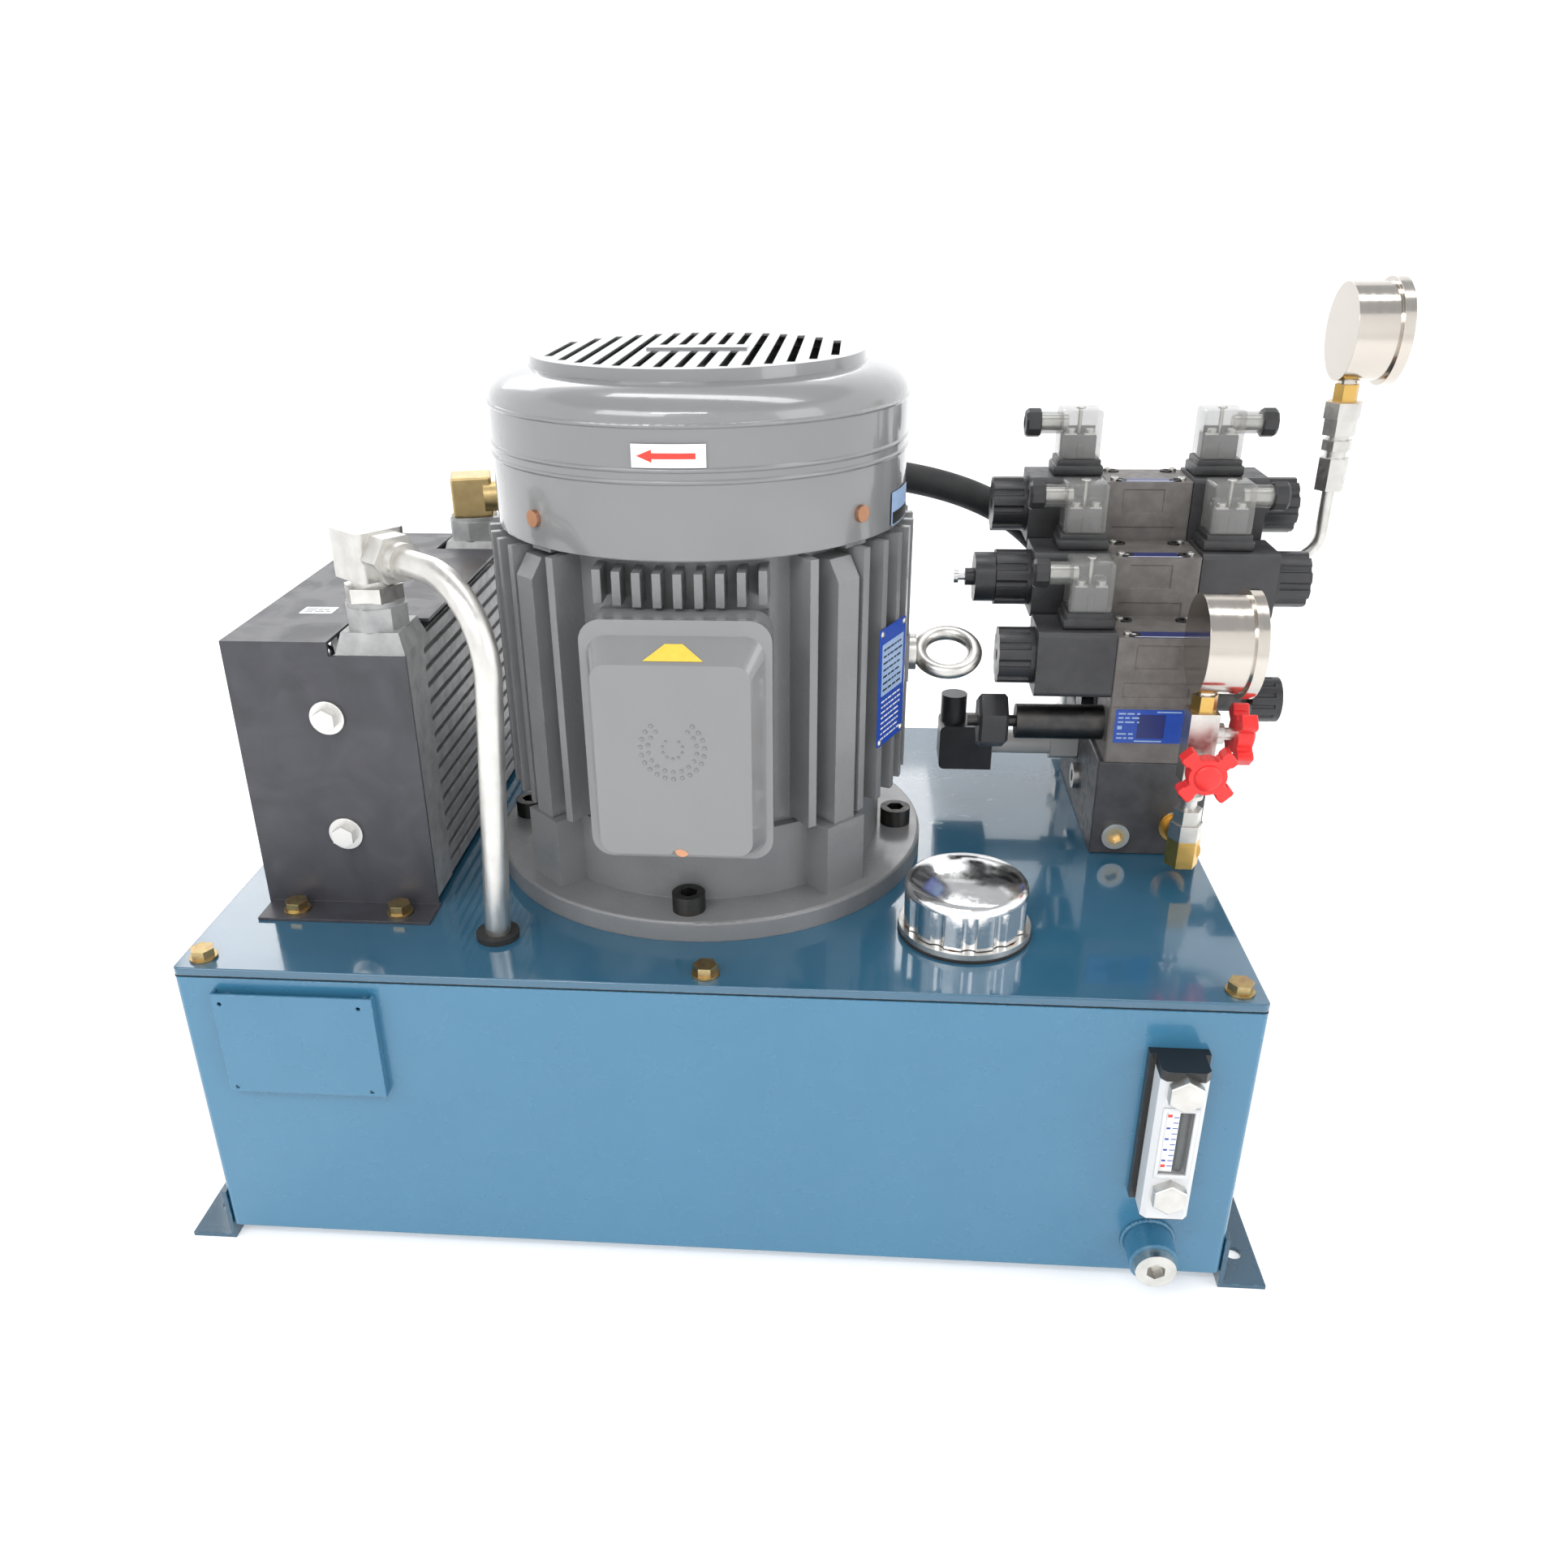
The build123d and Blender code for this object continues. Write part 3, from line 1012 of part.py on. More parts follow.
for station, label in enumerate(("spool_front", "spool_middle", "spool_rear")):
    station_y = STATION_Y[station]
    axis_z = spool_axis(station)
    with BuildPart() as spool:
        rod(5, (262, station_y, axis_z), (1, 0, 0), 48)
        for land_x, land_length in ((262, 11), (280, 12), (299, 11)):
            rod(SPOOL_R, (land_x, station_y, axis_z), (1, 0, 0), land_length)
        left_reach = 262 - (VALVE_X[0] - tube_length)
        if station == 1:
            left_reach += 27
        rod(PIN_R, (262, station_y, axis_z), (-1, 0, 0), left_reach)
        if station == 1:
            rod(4.5, (262 - left_reach, station_y, axis_z), (-1, 0, 0), 3)
        if station > 0:
            rod(PIN_R, (310, station_y, axis_z), (1, 0, 0), VALVE_X[1] + tube_length - 310)
        else:
            rod(PIN_R, (310, station_y, axis_z), (1, 0, 0), 12)
    finish(spool, label)

with BuildPart() as din_connectors:
    for station, side in coil_sides:
        plug_x = valve_mid_x + side * 48
        station_y = STATION_Y[station]
        low = spool_axis(station) + COIL_SIZE / 2 + 0.1
        wide = (plug_x - 17, plug_x + 17)
        block(wide, (station_y - 15, station_y + 15), (low, low + 10))
        block((plug_x - 14, plug_x + 14), (station_y - 14, station_y + 14), (low + 10, low + 44))
        rod(9, (plug_x + side * 14, station_y, low + 34), (side, 0, 0), 24)
    fillet(din_connectors.edges().filter_by(Axis.Z), 2)
finish(din_connectors, "din_connectors")

bolt_reach = 12.0
flange_screw = socket_screw(10.5, 12, 6, FLANGE_THICK + COVER_THICK + 4)
tie_screws = [
    socket_screw(4.4, 5, 2.5, stack_base(station) + VALVE_HEIGHT - 4 - MANIFOLD_TOP + bolt_reach)
    for station in range(len(STATION_Y))
]
with BuildPart() as socket_screws:
    with Locations((MOTOR[0], MOTOR[1], flange_high)):
        with PolarLocations(FLANGE_PCD / 2, 4):
            add(flange_screw)
    for station, station_y in enumerate(STATION_Y):
        seat = stack_base(station) + VALVE_HEIGHT - 4
        for tie_x, tie_y in tie_places:
            with Locations((tie_x, station_y + tie_y, seat)):
                add(tie_screws[station])
finish(socket_screws, "socket_screws")

# ---------------------------------------------------------------- pressure switch
switch_y, switch_z = switch_port
with BuildPart() as pressure_switch:
    rod(6, (MANIFOLD_X[0], switch_y, switch_z), (1, 0, 0), 9)
    prism(6, 22, (MANIFOLD_X[0], switch_y, switch_z), (-1, 0, 0), 20)
    rod(8.5, (MANIFOLD_X[0] - 20, switch_y, switch_z), (-1, 0, 0), 44)
    block((150, 189), (switch_y - 15, switch_y + 15), (switch_z - 17, switch_z + 17))
    fillet(pressure_switch.edges().filter_by(Axis.Y).group_by(Axis.X)[0], 4)
    post(9.5, (switch_z + 17, switch_z + 38), (160, switch_y))
finish(pressure_switch, "pressure_switch")

# ---------------------------------------------------------------- gauges
wheel_front_z = 308.0
wheel_side_z = 325.0
column_x, column_y, front_gauge_z = FRONT_GAUGE
rear_x, rear_y, rear_gauge_z = REAR_GAUGE
tap_start = Vector(VALVE_X[1] + 12, gauge_tap[0], gauge_tap[1])
tap_corner = Vector(388, 96, gauge_tap[1] + 1)
gauge_shank = GAUGE_R + 2
with BuildPart() as gauge_fittings:
    # Front column: elbow out of the manifold, hexagons, and the two-way cock body.
    rod(6, (gauge_port[0], MANIFOLD_Y[0], gauge_port[1]), (0, 1, 0), 9)
    rod(11.5, (gauge_port[0], MANIFOLD_Y[0], gauge_port[1]), (0, -1, 0), 2)
    rod(8.5, (gauge_port[0], MANIFOLD_Y[0] - 2, gauge_port[1]), (0, -1, 0), 36)
    prism(6, 19, (column_x, column_y, 231), (0, 0, 1), 31)
    prism(6, 16, (column_x, column_y, 262), (0, 0, 1), 10)
    post(5, (272, 292), (column_x, column_y))
    post(8, (280, 283), (column_x, column_y))
    block((column_x - 9, column_x + 9), (column_y - 9, column_y + 9), (292, 341))
    rod(7, (column_x, column_y - 9, wheel_front_z), (0, -1, 0), 6)
    rod(4, (column_x, column_y - 15, wheel_front_z), (0, -1, 0), 20)
    rod(7, (column_x + 9, column_y, wheel_side_z), (1, 0, 0), 5)
    rod(4, (column_x + 14, column_y, wheel_side_z), (1, 0, 0), 16)
    prism(6, 14, (column_x, column_y, 341), (0, 0, 1), front_gauge_z - gauge_shank - 341)
    # Rear column: thin tube from the rear stack, nut, adapters and the gauge's own hexagon.
    with BuildLine(mode=Mode.PRIVATE) as tap_path:
        FilletPolyline(
            tap_start,
            tap_corner,
            (rear_x, rear_y, 410),
            (rear_x, rear_y, 450),
            radius=18,
        )
    tap_dir = (tap_corner - tap_start).normalized()
    with BuildSketch(Plane(origin=tap_start, z_dir=tap_dir)):
        Circle(4)
    sweep(path=tap_path.wires()[0])
    prism(6, 16, tap_start + tap_dir * 2, tap_dir, 12)
    prism(6, 17, (rear_x, rear_y, 449), (0, 0, 1), 22)
    post(7, (471, 486), (rear_x, rear_y))
    prism(6, 17, (rear_x, rear_y, 476), (0, 0, 1), 7)
    prism(6, 19, (rear_x, rear_y, 486), (0, 0, 1), 11)
    prism(6, 21, (rear_x, rear_y, 497), (0, 0, 1), 11)
    prism(6, 14, (rear_x, rear_y, 508), (0, 0, 1), rear_gauge_z - gauge_shank - 508)
finish(gauge_fittings, "gauge_fittings")

gauge_centres = ((column_x, column_y, front_gauge_z), (rear_x, rear_y, rear_gauge_z))
gauge_back = 10.0
gauge_depth = 34.0
with BuildPart() as gauge_cases:
    for centre_x, centre_y, centre_z in gauge_centres:
        start = (centre_x - gauge_back, centre_y, centre_z)
        rod(GAUGE_R, start, (1, 0, 0), 27)
        post(6, (centre_z - gauge_shank, centre_z - GAUGE_R + 3), (centre_x, centre_y))
        rod(GAUGE_BEZEL_R, (start[0] + 27, centre_y, centre_z), (1, 0, 0), gauge_depth - 27)
        rod(GAUGE_R - 2, (start[0] + 16, centre_y, centre_z), (1, 0, 0), 30, mode=Mode.SUBTRACT)
        rod(GAUGE_R, (start[0] + 30, centre_y, centre_z), (1, 0, 0), 2.2, mode=Mode.SUBTRACT)
        rod(2, (start[0] + 16, centre_y, centre_z), (1, 0, 0), 5)
finish(gauge_cases, "gauge_cases")

with BuildPart() as gauge_lenses:
    for centre_x, centre_y, centre_z in gauge_centres:
        rod(GAUGE_R - 0.1, (centre_x - gauge_back + 30.1, centre_y, centre_z), (1, 0, 0), 2)
finish(gauge_lenses, "gauge_lenses")

pointer_angle = radians(225)
for (centre_x, centre_y, centre_z), label in zip(gauge_centres, ("pointer_front", "pointer_rear")):
    with BuildPart() as pointer:
        pointer_x = centre_x - gauge_back + 18
        ring(4, 2 + RUNNING, (pointer_x, centre_y, centre_z), (1, 0, 0), 2)
        needle_plane = Plane(
            origin=(pointer_x, centre_y, centre_z),
            x_dir=(0, cos(pointer_angle), sin(pointer_angle)),
            z_dir=(1, 0, 0),
        )
        with BuildSketch(needle_plane):
            with BuildLine():
                Polyline((3, -1.2), (22, -0.4), (22, 0.4), (3, 1.2), close=True)
            make_face()
        extrude(amount=1)
    finish(pointer, label)


def star_wheel(centre, outward, across):
    """Four-armed handwheel: round hub, blunt arms around the axis, its seat at the centre."""
    hub_plane = Plane(origin=centre, x_dir=across, z_dir=outward)
    with BuildSketch(hub_plane) as wheel:
        Circle(12)
        for lobe in range(4):
            with Locations(Location((0, 0, 0), (0, 0, 45 + 90 * lobe))):
                with Locations((11, 0)):
                    Rectangle(10, 8.5)
                with Locations((16.8, 0)):
                    RectangleRounded(6.4, 10.5, 1.8)
    extrude(wheel.sketch, amount=10)


with BuildPart() as handwheel_front:
    star_wheel((column_x, column_y - 23, wheel_front_z), (0, -1, 0), (1, 0, 0))
    fillet(handwheel_front.faces().sort_by(Axis.Y)[0].edges(), 1.0)
    rod(4 + RUNNING, (column_x, column_y - 22, wheel_front_z), (0, -1, 0), 14, mode=Mode.SUBTRACT)
finish(handwheel_front, "handwheel_front")

with BuildPart() as handwheel_side:
    star_wheel((column_x + 21, column_y, wheel_side_z), (1, 0, 0), (0, 1, 0))
    fillet(handwheel_side.faces().sort_by(Axis.X)[-1].edges(), 1.0)
    rod(4 + RUNNING, (column_x + 20, column_y, wheel_side_z), (1, 0, 0), 11, mode=Mode.SUBTRACT)
finish(handwheel_side, "handwheel_side")
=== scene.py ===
"""Looks for the hydraulic power unit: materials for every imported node, and the pieces that
CAD leaves plain, such as the clear plug hoods, dials, labels, seams and the return hose.

Metres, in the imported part's frame. Sizes in millimetres are multiplied by MM.
"""

import math
import random

import bmesh
import bpy
from mathutils import Matrix, Vector


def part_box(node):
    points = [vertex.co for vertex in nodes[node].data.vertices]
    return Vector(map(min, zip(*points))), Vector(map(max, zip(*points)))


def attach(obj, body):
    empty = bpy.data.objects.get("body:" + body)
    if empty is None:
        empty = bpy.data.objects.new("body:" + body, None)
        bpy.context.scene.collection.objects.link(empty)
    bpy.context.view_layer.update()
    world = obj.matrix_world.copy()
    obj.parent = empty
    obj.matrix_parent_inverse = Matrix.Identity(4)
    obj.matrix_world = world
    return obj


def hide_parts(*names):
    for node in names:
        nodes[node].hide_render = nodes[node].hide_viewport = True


MM = 0.001
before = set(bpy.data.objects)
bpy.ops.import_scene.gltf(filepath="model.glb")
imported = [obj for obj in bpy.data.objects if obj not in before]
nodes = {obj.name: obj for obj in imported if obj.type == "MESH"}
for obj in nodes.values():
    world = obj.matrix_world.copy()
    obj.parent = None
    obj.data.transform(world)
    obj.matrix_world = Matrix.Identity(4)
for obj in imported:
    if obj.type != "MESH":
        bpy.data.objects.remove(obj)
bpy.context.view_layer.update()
random.seed(7)


# ---------------------------------------------------------------- places read from the frame
def centre(node):
    """Middle of a node's box."""
    low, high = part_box(node)
    return (low + high) / 2


motor = centre("motor_flange")
cowl_low, cowl_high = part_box("fan_cowl")
cowl_radius = (cowl_high.x - cowl_low.x) / 2
lid_low, lid_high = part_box("terminal_cover")
body_low, body_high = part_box("valve_bodies")
shroud_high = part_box("cooler_shroud")[1]
gauge_low, gauge_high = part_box("level_gauge_body")
spools = [centre(name) for name in ("spool_front", "spool_middle", "spool_rear")]
valve_half = 23 * MM
coil_half = 22.5 * MM
coil_sides = ((0, -1), (1, -1), (1, 1), (2, -1), (2, 1))


# ---------------------------------------------------------------- camera, floor and lights
def add_camera():
    """Camera at the photograph's viewing angle."""
    yaw, pitch, roll = (math.radians(a) for a in (-4.98, -25.82, -0.84))
    forward = Vector((math.sin(yaw) * math.cos(pitch), math.cos(yaw) * math.cos(pitch), math.sin(pitch)))
    level = Vector((math.cos(yaw), -math.sin(yaw), 0))
    upright = level.cross(forward)
    right = level * math.cos(roll) + upright * math.sin(roll)
    up = upright * math.cos(roll) - level * math.sin(roll)
    data = bpy.data.cameras.new("camera")
    data.sensor_width = 36
    data.lens = 29.609
    data.shift_x = 0.0228
    data.shift_y = 0.0178
    camera = bpy.data.objects.new("camera", data)
    bpy.context.scene.collection.objects.link(camera)
    turn = Matrix((right, up, -forward)).transposed()
    camera.matrix_world = Matrix.Translation((0.08393, -0.84499, 0.64318)) @ turn.to_4x4()
    bpy.context.scene.camera = camera


def add_light(name, place, aim, size, power, tint=(1, 1, 1)):
    """Rectangular soft light at a place, facing the aim point."""
    data = bpy.data.lights.new(name, "AREA")
    data.shape = "RECTANGLE"
    data.size, data.size_y = size
    data.energy = power
    data.color = tint
    light = bpy.data.objects.new(name, data)
    bpy.context.scene.collection.objects.link(light)
    light.location = place
    light.rotation_mode = "QUATERNION"
    light.rotation_quaternion = (Vector(aim) - Vector(place)).to_track_quat("-Z", "Y")


def add_backdrop():
    """Pale floor that sweeps up into a wall all the way round."""
    shape = bmesh.new()
    turns = 96
    floor_radius, bend, wall_top = 3.2, 1.2, 4.4
    profile = [(0.0, 0.0), (1.5, 0.0), (floor_radius, 0.0)]
    for step in range(1, 13):
        angle = math.radians(90 * step / 12)
        profile.append((floor_radius + bend * math.sin(angle), bend * (1 - math.cos(angle))))
    profile.append((floor_radius + bend, wall_top))
    rings = []
    for radius, height in profile[1:]:
        ring_verts = []
        for step in range(turns):
            angle = 2 * math.pi * step / turns
            ring_verts.append(shape.verts.new((radius * math.cos(angle), radius * math.sin(angle), height)))
        rings.append(ring_verts)
    shape.faces.new(rings[0])
    for lower, upper in zip(rings, rings[1:]):
        for step in range(turns):
            following = (step + 1) % turns
            face = shape.faces.new((lower[step], lower[following], upper[following], upper[step]))
            face.smooth = True
    mesh = bpy.data.meshes.new("backdrop")
    shape.to_mesh(mesh)
    shape.free()
    backdrop = bpy.data.objects.new("backdrop", mesh)
    bpy.context.scene.collection.objects.link(backdrop)
    mat = bpy.data.materials.new("pale_backdrop")
    mat.use_nodes = True
    shader = mat.node_tree.nodes["Principled BSDF"]
    shader.inputs["Base Color"].default_value = (0.90, 0.90, 0.90, 1)
    shader.inputs["Roughness"].default_value = 1.0
    shader.inputs["Specular IOR Level"].default_value = 0.0
    shader.inputs["Emission Color"].default_value = (1, 1, 1, 1)
    shader.inputs["Emission Strength"].default_value = 0.30
    mesh.materials.append(mat)


def add_stage():
    """Backdrop, a pale sky over it and soft lights."""
    add_backdrop()
    world = bpy.data.worlds.new("studio")
    world.use_nodes = True
    background = world.node_tree.nodes["Background"]
    background.inputs["Color"].default_value = (0.95, 0.97, 1.0, 1)
    background.inputs["Strength"].default_value = 0.62
    bpy.context.scene.world = world

    add_light("key", (-1.1, -1.7, 2.0), (0, 0, 0.3), (1.5, 0.8), 20)
    add_light("top", (0.2, 0.4, 2.3), (0, 0, 0.3), (2.2, 0.35), 15)
    add_light("strip", (-0.15, -1.5, 1.9), (0, 0, 0.45), (0.9, 0.10), 7)
    add_light("fill", (1.9, -1.1, 1.1), (0, 0, 0.3), (1.0, 1.2), 8)
    add_light("back", (-0.6, 2.0, 1.6), (0, 0, 0.3), (2.0, 0.8), 12)


add_camera()
add_stage()
bpy.context.scene.view_settings.view_transform = "Standard"


# ---------------------------------------------------------------- materials
class Finish:
    """A material whose colour, roughness and bump come from noise in the object's own space."""

    def __init__(self, name, color, rough, metallic=0.0, edge=0.5):
        self.mat = bpy.data.materials.new(name)
        self.mat.use_nodes = True
        self.tree = self.mat.node_tree
        self.shader = self.tree.nodes["Principled BSDF"]
        self.shader.inputs["Metallic"].default_value = metallic
        self.shader.inputs["Roughness"].default_value = rough
        self.coords = self.add("ShaderNodeTexCoord").outputs["Object"]
        self.color = self.value_color(color)
        self.rough = None
        self.base_rough = rough
        self.height = None
        self.bump_depth = 0.0
        self.edge = edge

    def add(self, kind, **settings):
        node = self.tree.nodes.new(kind)
        for key, value in settings.items():
            setattr(node, key, value)
        return node

    def link(self, source, target):
        self.tree.links.new(source, target)

    def value_color(self, color):
        node = self.add("ShaderNodeRGB")
        node.outputs[0].default_value = (*color, 1)
        return node.outputs[0]

    def noise(self, scale, detail=3.0, rough=0.5, stretch=(1, 1, 1), distortion=0.0):
        """Noise from 0 to 1, with features about 1/scale metres apart."""
        mapping = self.add("ShaderNodeMapping")
        mapping.inputs["Scale"].default_value = stretch
        self.link(self.coords, mapping.inputs["Vector"])
        node = self.add("ShaderNodeTexNoise")
        node.inputs["Scale"].default_value = scale
        node.inputs["Detail"].default_value = detail
        node.inputs["Roughness"].default_value = rough
        node.inputs["Distortion"].default_value = distortion
        self.link(mapping.outputs[0], node.inputs["Vector"])
        return node.outputs["Fac"]

    def remap(self, value, low, high, to_low=0.0, to_high=1.0):
        node = self.add("ShaderNodeMapRange")
        node.inputs["From Min"].default_value = low
        node.inputs["From Max"].default_value = high
        node.inputs["To Min"].default_value = to_low
        node.inputs["To Max"].default_value = to_high
        self.link(value, node.inputs["Value"])
        return node.outputs["Result"]

    def math(self, operation, a, b):
        node = self.add("ShaderNodeMath", operation=operation)
        for slot, value in enumerate((a, b)):
            if isinstance(value, (int, float)):
                node.inputs[slot].default_value = value
            else:
                self.link(value, node.inputs[slot])
        return node.outputs[0]

    def tint(self, mask, color):
        """Mixes a colour over what is there, by the mask."""
        mix = self.add("ShaderNodeMix", data_type="RGBA")
        self.link(mask, mix.inputs["Factor"])
        self.link(self.color, mix.inputs["A"])
        if isinstance(color, tuple):
            mix.inputs["B"].default_value = (*color, 1)
        else:
            self.link(color, mix.inputs["B"])
        self.color = mix.outputs["Result"]
        return self

    def mottle(self, color, scale=18.0, amount=0.5, **kw):
        """Broad, soft patches of a second colour."""
        return self.tint(self.remap(self.noise(scale, **kw), 0.35, 0.75, 0.0, amount), color)

    def roughen(self, mask, change):
        """Adds to the roughness where the mask is 1."""
        start = self.rough if self.rough is not None else self.base_rough
        self.rough = self.math("ADD", self.math("MULTIPLY", mask, change), start)
        return self

    def relief(self, height, depth):
        """Adds a height in metres times the mask."""
        scaled = self.math("MULTIPLY", height, depth)
        self.height = scaled if self.height is None else self.math("ADD", self.height, scaled)
        return self

    def above(self, axis, value, soft=0.0004):
        """Mask that is 1 where the object coordinate is above a value."""
        split = self.add("ShaderNodeSeparateXYZ")
        self.link(self.coords, split.inputs[0])
        return self.remap(split.outputs["XYZ".index(axis)], value - soft, value + soft)

    def between(self, axis, low, high):
        """Mask of a slab across one axis."""
        return self.math("SUBTRACT", self.above(axis, low), self.above(axis, high))

    def within(self, places, radius):
        """Mask of a round bar along the axis left out of places, such as {"X": 0.1, "Z": 0.2}."""
        split = self.add("ShaderNodeSeparateXYZ")
        self.link(self.coords, split.inputs[0])
        total = None
        for axis, value in places.items():
            offset = self.math("SUBTRACT", split.outputs["XYZ".index(axis)], value)
            squared = self.math("MULTIPLY", offset, offset)
            total = squared if total is None else self.math("ADD", total, squared)
        return self.math("LESS_THAN", total, radius * radius)

    def rim(self, radius):
        """Mask that is 1 along edges, from how far a rounded normal leaves the real one."""
        bevel = self.add("ShaderNodeBevel", samples=4)
        bevel.inputs["Radius"].default_value = radius
        geometry = self.add("ShaderNodeNewGeometry")
        dot = self.add("ShaderNodeVectorMath", operation="DOT_PRODUCT")
        self.link(bevel.outputs[0], dot.inputs[0])
        self.link(geometry.outputs["Normal"], dot.inputs[1])
        return self.remap(dot.outputs["Value"], 0.995, 0.8)

    def wear(self, color, radius=0.0008, scale=260.0, amount=0.8):
        """Chips and rubs along edges, broken up by noise."""
        broken = self.remap(self.noise(scale, detail=4), 0.5, 0.62)
        mask = self.math("MULTIPLY", self.math("MULTIPLY", self.rim(radius), broken), amount)
        return self.tint(mask, color)

    def done(self, **shader_values):
        """Joins everything to the shader, sets its plain values and gives the material."""
        self.link(self.color, self.shader.inputs["Base Color"])
        if self.rough is not None:
            self.link(self.rough, self.shader.inputs["Roughness"])
        normal = None
        if self.edge > 0:
            bevel = self.add("ShaderNodeBevel", samples=4)
            bevel.inputs["Radius"].default_value = self.edge * MM
            normal = bevel.outputs[0]
        if self.height is not None:
            bump = self.add("ShaderNodeBump")
            bump.inputs["Distance"].default_value = 1.0
            self.link(self.height, bump.inputs["Height"])
            if normal is not None:
                self.link(normal, bump.inputs["Normal"])
            normal = bump.outputs[0]
        if normal is not None:
            self.link(normal, self.shader.inputs["Normal"])
        for key, value in shader_values.items():
            self.shader.inputs[key.replace("_", " ")].default_value = value
        return self.mat


TANK_BLUE = (0.040, 0.165, 0.280)
MOTOR_GREY = (0.190, 0.192, 0.195)


def tank_paint(name, scuffs=False, painted_shade=1.0):
    """Glossy two-pack blue enamel with orange peel, and rubs on its edges. A factor below 1 darkens a whole
    copy of this enamel as painted shade.
    """
    # the factor scales the base and patch colours of the copy: painted shade
    f = Finish(name, tuple(c * painted_shade for c in TANK_BLUE), 0.13 if scuffs else 0.22, edge=1.2)
    f.mottle((0.035 * painted_shade, 0.145 * painted_shade, 0.250 * painted_shade), scale=7, amount=0.5)
    f.mottle((0.050 * painted_shade, 0.19 * painted_shade, 0.31 * painted_shade), scale=30, amount=0.25)
    f.relief(f.noise(420, detail=2), 0.00003)
    f.relief(f.noise(55, detail=2), 0.00008)
    f.roughen(f.remap(f.noise(24, detail=5), 0.4, 0.7), 0.07 if scuffs else 0.14)
    f.wear((0.20, 0.36, 0.48), radius=0.0012, amount=0.5)
    if scuffs:
        streaks = f.remap(f.noise(42, detail=6, rough=0.7, stretch=(1, 2.2, 1), distortion=1.5), 0.60, 0.68)
        short_of_x = f.math("SUBTRACT", 1, f.above("X", 0.185, 0.02))
        short_of_y = f.math("SUBTRACT", 1, f.above("Y", 0.175, 0.03))
        area_x = f.math("MULTIPLY", f.above("X", 0.126, 0.012), short_of_x)
        area_y = f.math("MULTIPLY", f.above("Y", 0.0, 0.02), short_of_y)
        faint_streaks = f.math("MULTIPLY", streaks, 0.8)
        f.tint(f.math("MULTIPLY", faint_streaks, f.math("MULTIPLY", area_x, area_y)), (0.42, 0.55, 0.58))
    return f.done(Coat_Weight=0.9 if scuffs else 0.5, Coat_Roughness=0.05)


def motor_paint(name, cast=True):
    """Grey enamel: thick and pebbled over a casting, smooth on pressed sheet."""
    f = Finish(name, MOTOR_GREY, 0.32 if cast else 0.20, edge=1.0)
    f.mottle((0.155, 0.158, 0.162), scale=22, amount=0.6 if cast else 0.2, detail=2)
    f.roughen(f.remap(f.noise(60, detail=5), 0.4, 0.7), 0.12 if cast else 0.05)
    if cast:
        f.relief(f.noise(330, detail=4, rough=0.6), 0.00028)
        f.relief(f.noise(90, detail=2), 0.0004)
        f.wear((0.42, 0.42, 0.42), radius=0.0012, amount=0.35)
    else:
        f.relief(f.noise(500, detail=2), 0.00002)
        f.relief(f.noise(60, detail=2), 0.00006)
        f.wear((0.36, 0.36, 0.36), radius=0.0006, amount=0.2)
    return f.done(Coat_Weight=0.4 if cast else 0.8, Coat_Roughness=0.14 if cast else 0.05)


def powder_coat(name, color=(0.030, 0.030, 0.035), rough=0.42):
    """Satin black powder coat with a fine texture and faint handling marks."""
    f = Finish(name, color, rough, edge=0.6)
    f.mottle(tuple(c * 1.7 + 0.004 for c in color), scale=26, amount=0.7, detail=5, distortion=1.2)
    f.roughen(f.remap(f.noise(20, detail=4, distortion=1.5), 0.45, 0.6), 0.12)
    f.relief(f.noise(900, detail=2), 0.00005)
    f.wear((0.25, 0.25, 0.25), radius=0.0006, amount=0.35)
    return f.done()


def plated(name, color, rough=0.3, tarnish=(0.35, 0.33, 0.30), grain=(1, 1, 1)):
    """Plated or machined steel with fine scratches and slight tarnish."""
    f = Finish(name, color, rough, metallic=1.0, edge=0.4)
    f.mottle(tarnish, scale=70, amount=0.5, detail=5)
    f.roughen(f.remap(f.noise(300, detail=4, stretch=grain), 0.35, 0.7), 0.16)
    f.relief(f.noise(1400, detail=3, stretch=grain), 0.00003)
    return f.done()


def brushed_case(name):
    """Polished stainless spun round its axis, which runs along X."""
    f = Finish(name, (0.60, 0.56, 0.51), 0.13, metallic=1.0, edge=0.4)
    f.mottle((0.50, 0.44, 0.38), scale=14, amount=0.35, detail=2)
    f.relief(f.noise(3, detail=3, stretch=(900, 1, 1)), 0.000012)
    f.roughen(f.remap(f.noise(40, detail=3, stretch=(8, 1, 1)), 0.4, 0.7), 0.08)
    return f.done()


def silver_front(name):
    """Black moulding behind a silver-lacquered front with a black cap over it."""
    f = Finish(name, (0.012, 0.012, 0.013), 0.22, edge=0.5)
    silver = f.math("MULTIPLY", f.between("Z", 0.0775, 0.1795), f.math("SUBTRACT", 1, f.above("Y", -0.2145)))
    pocket = f.math("MULTIPLY", f.between("X", 0.2716, 0.2876), f.between("Z", 0.112, 0.158))
    deep = f.math("MULTIPLY", pocket, f.above("Y", -0.2308))
    mask = f.math("MULTIPLY", silver, f.math("SUBTRACT", 1, deep))
    f.tint(mask, (0.60, 0.61, 0.62))
    f.roughen(mask, 0.10)
    f.relief(f.noise(800, detail=2), 0.00002)
    f.wear((0.30, 0.30, 0.30), radius=0.0006, amount=0.3)
    return f.done()


def bolt_zinc(name):
    """Yellow passivated bolts, with clear zinc on those above the foot rail."""
    f = Finish(name, (0.50, 0.36, 0.16), 0.34, metallic=1.0, edge=0.4)
    f.mottle((0.42, 0.42, 0.20), scale=110, amount=0.6, detail=4)
    f.mottle((0.30, 0.19, 0.13), scale=150, amount=0.7, detail=4, distortion=1.0)
    f.tint(f.above("Z", 0.245), (0.66, 0.65, 0.63))
    f.relief(f.noise(1200, detail=3), 0.00003)
    return f.done()


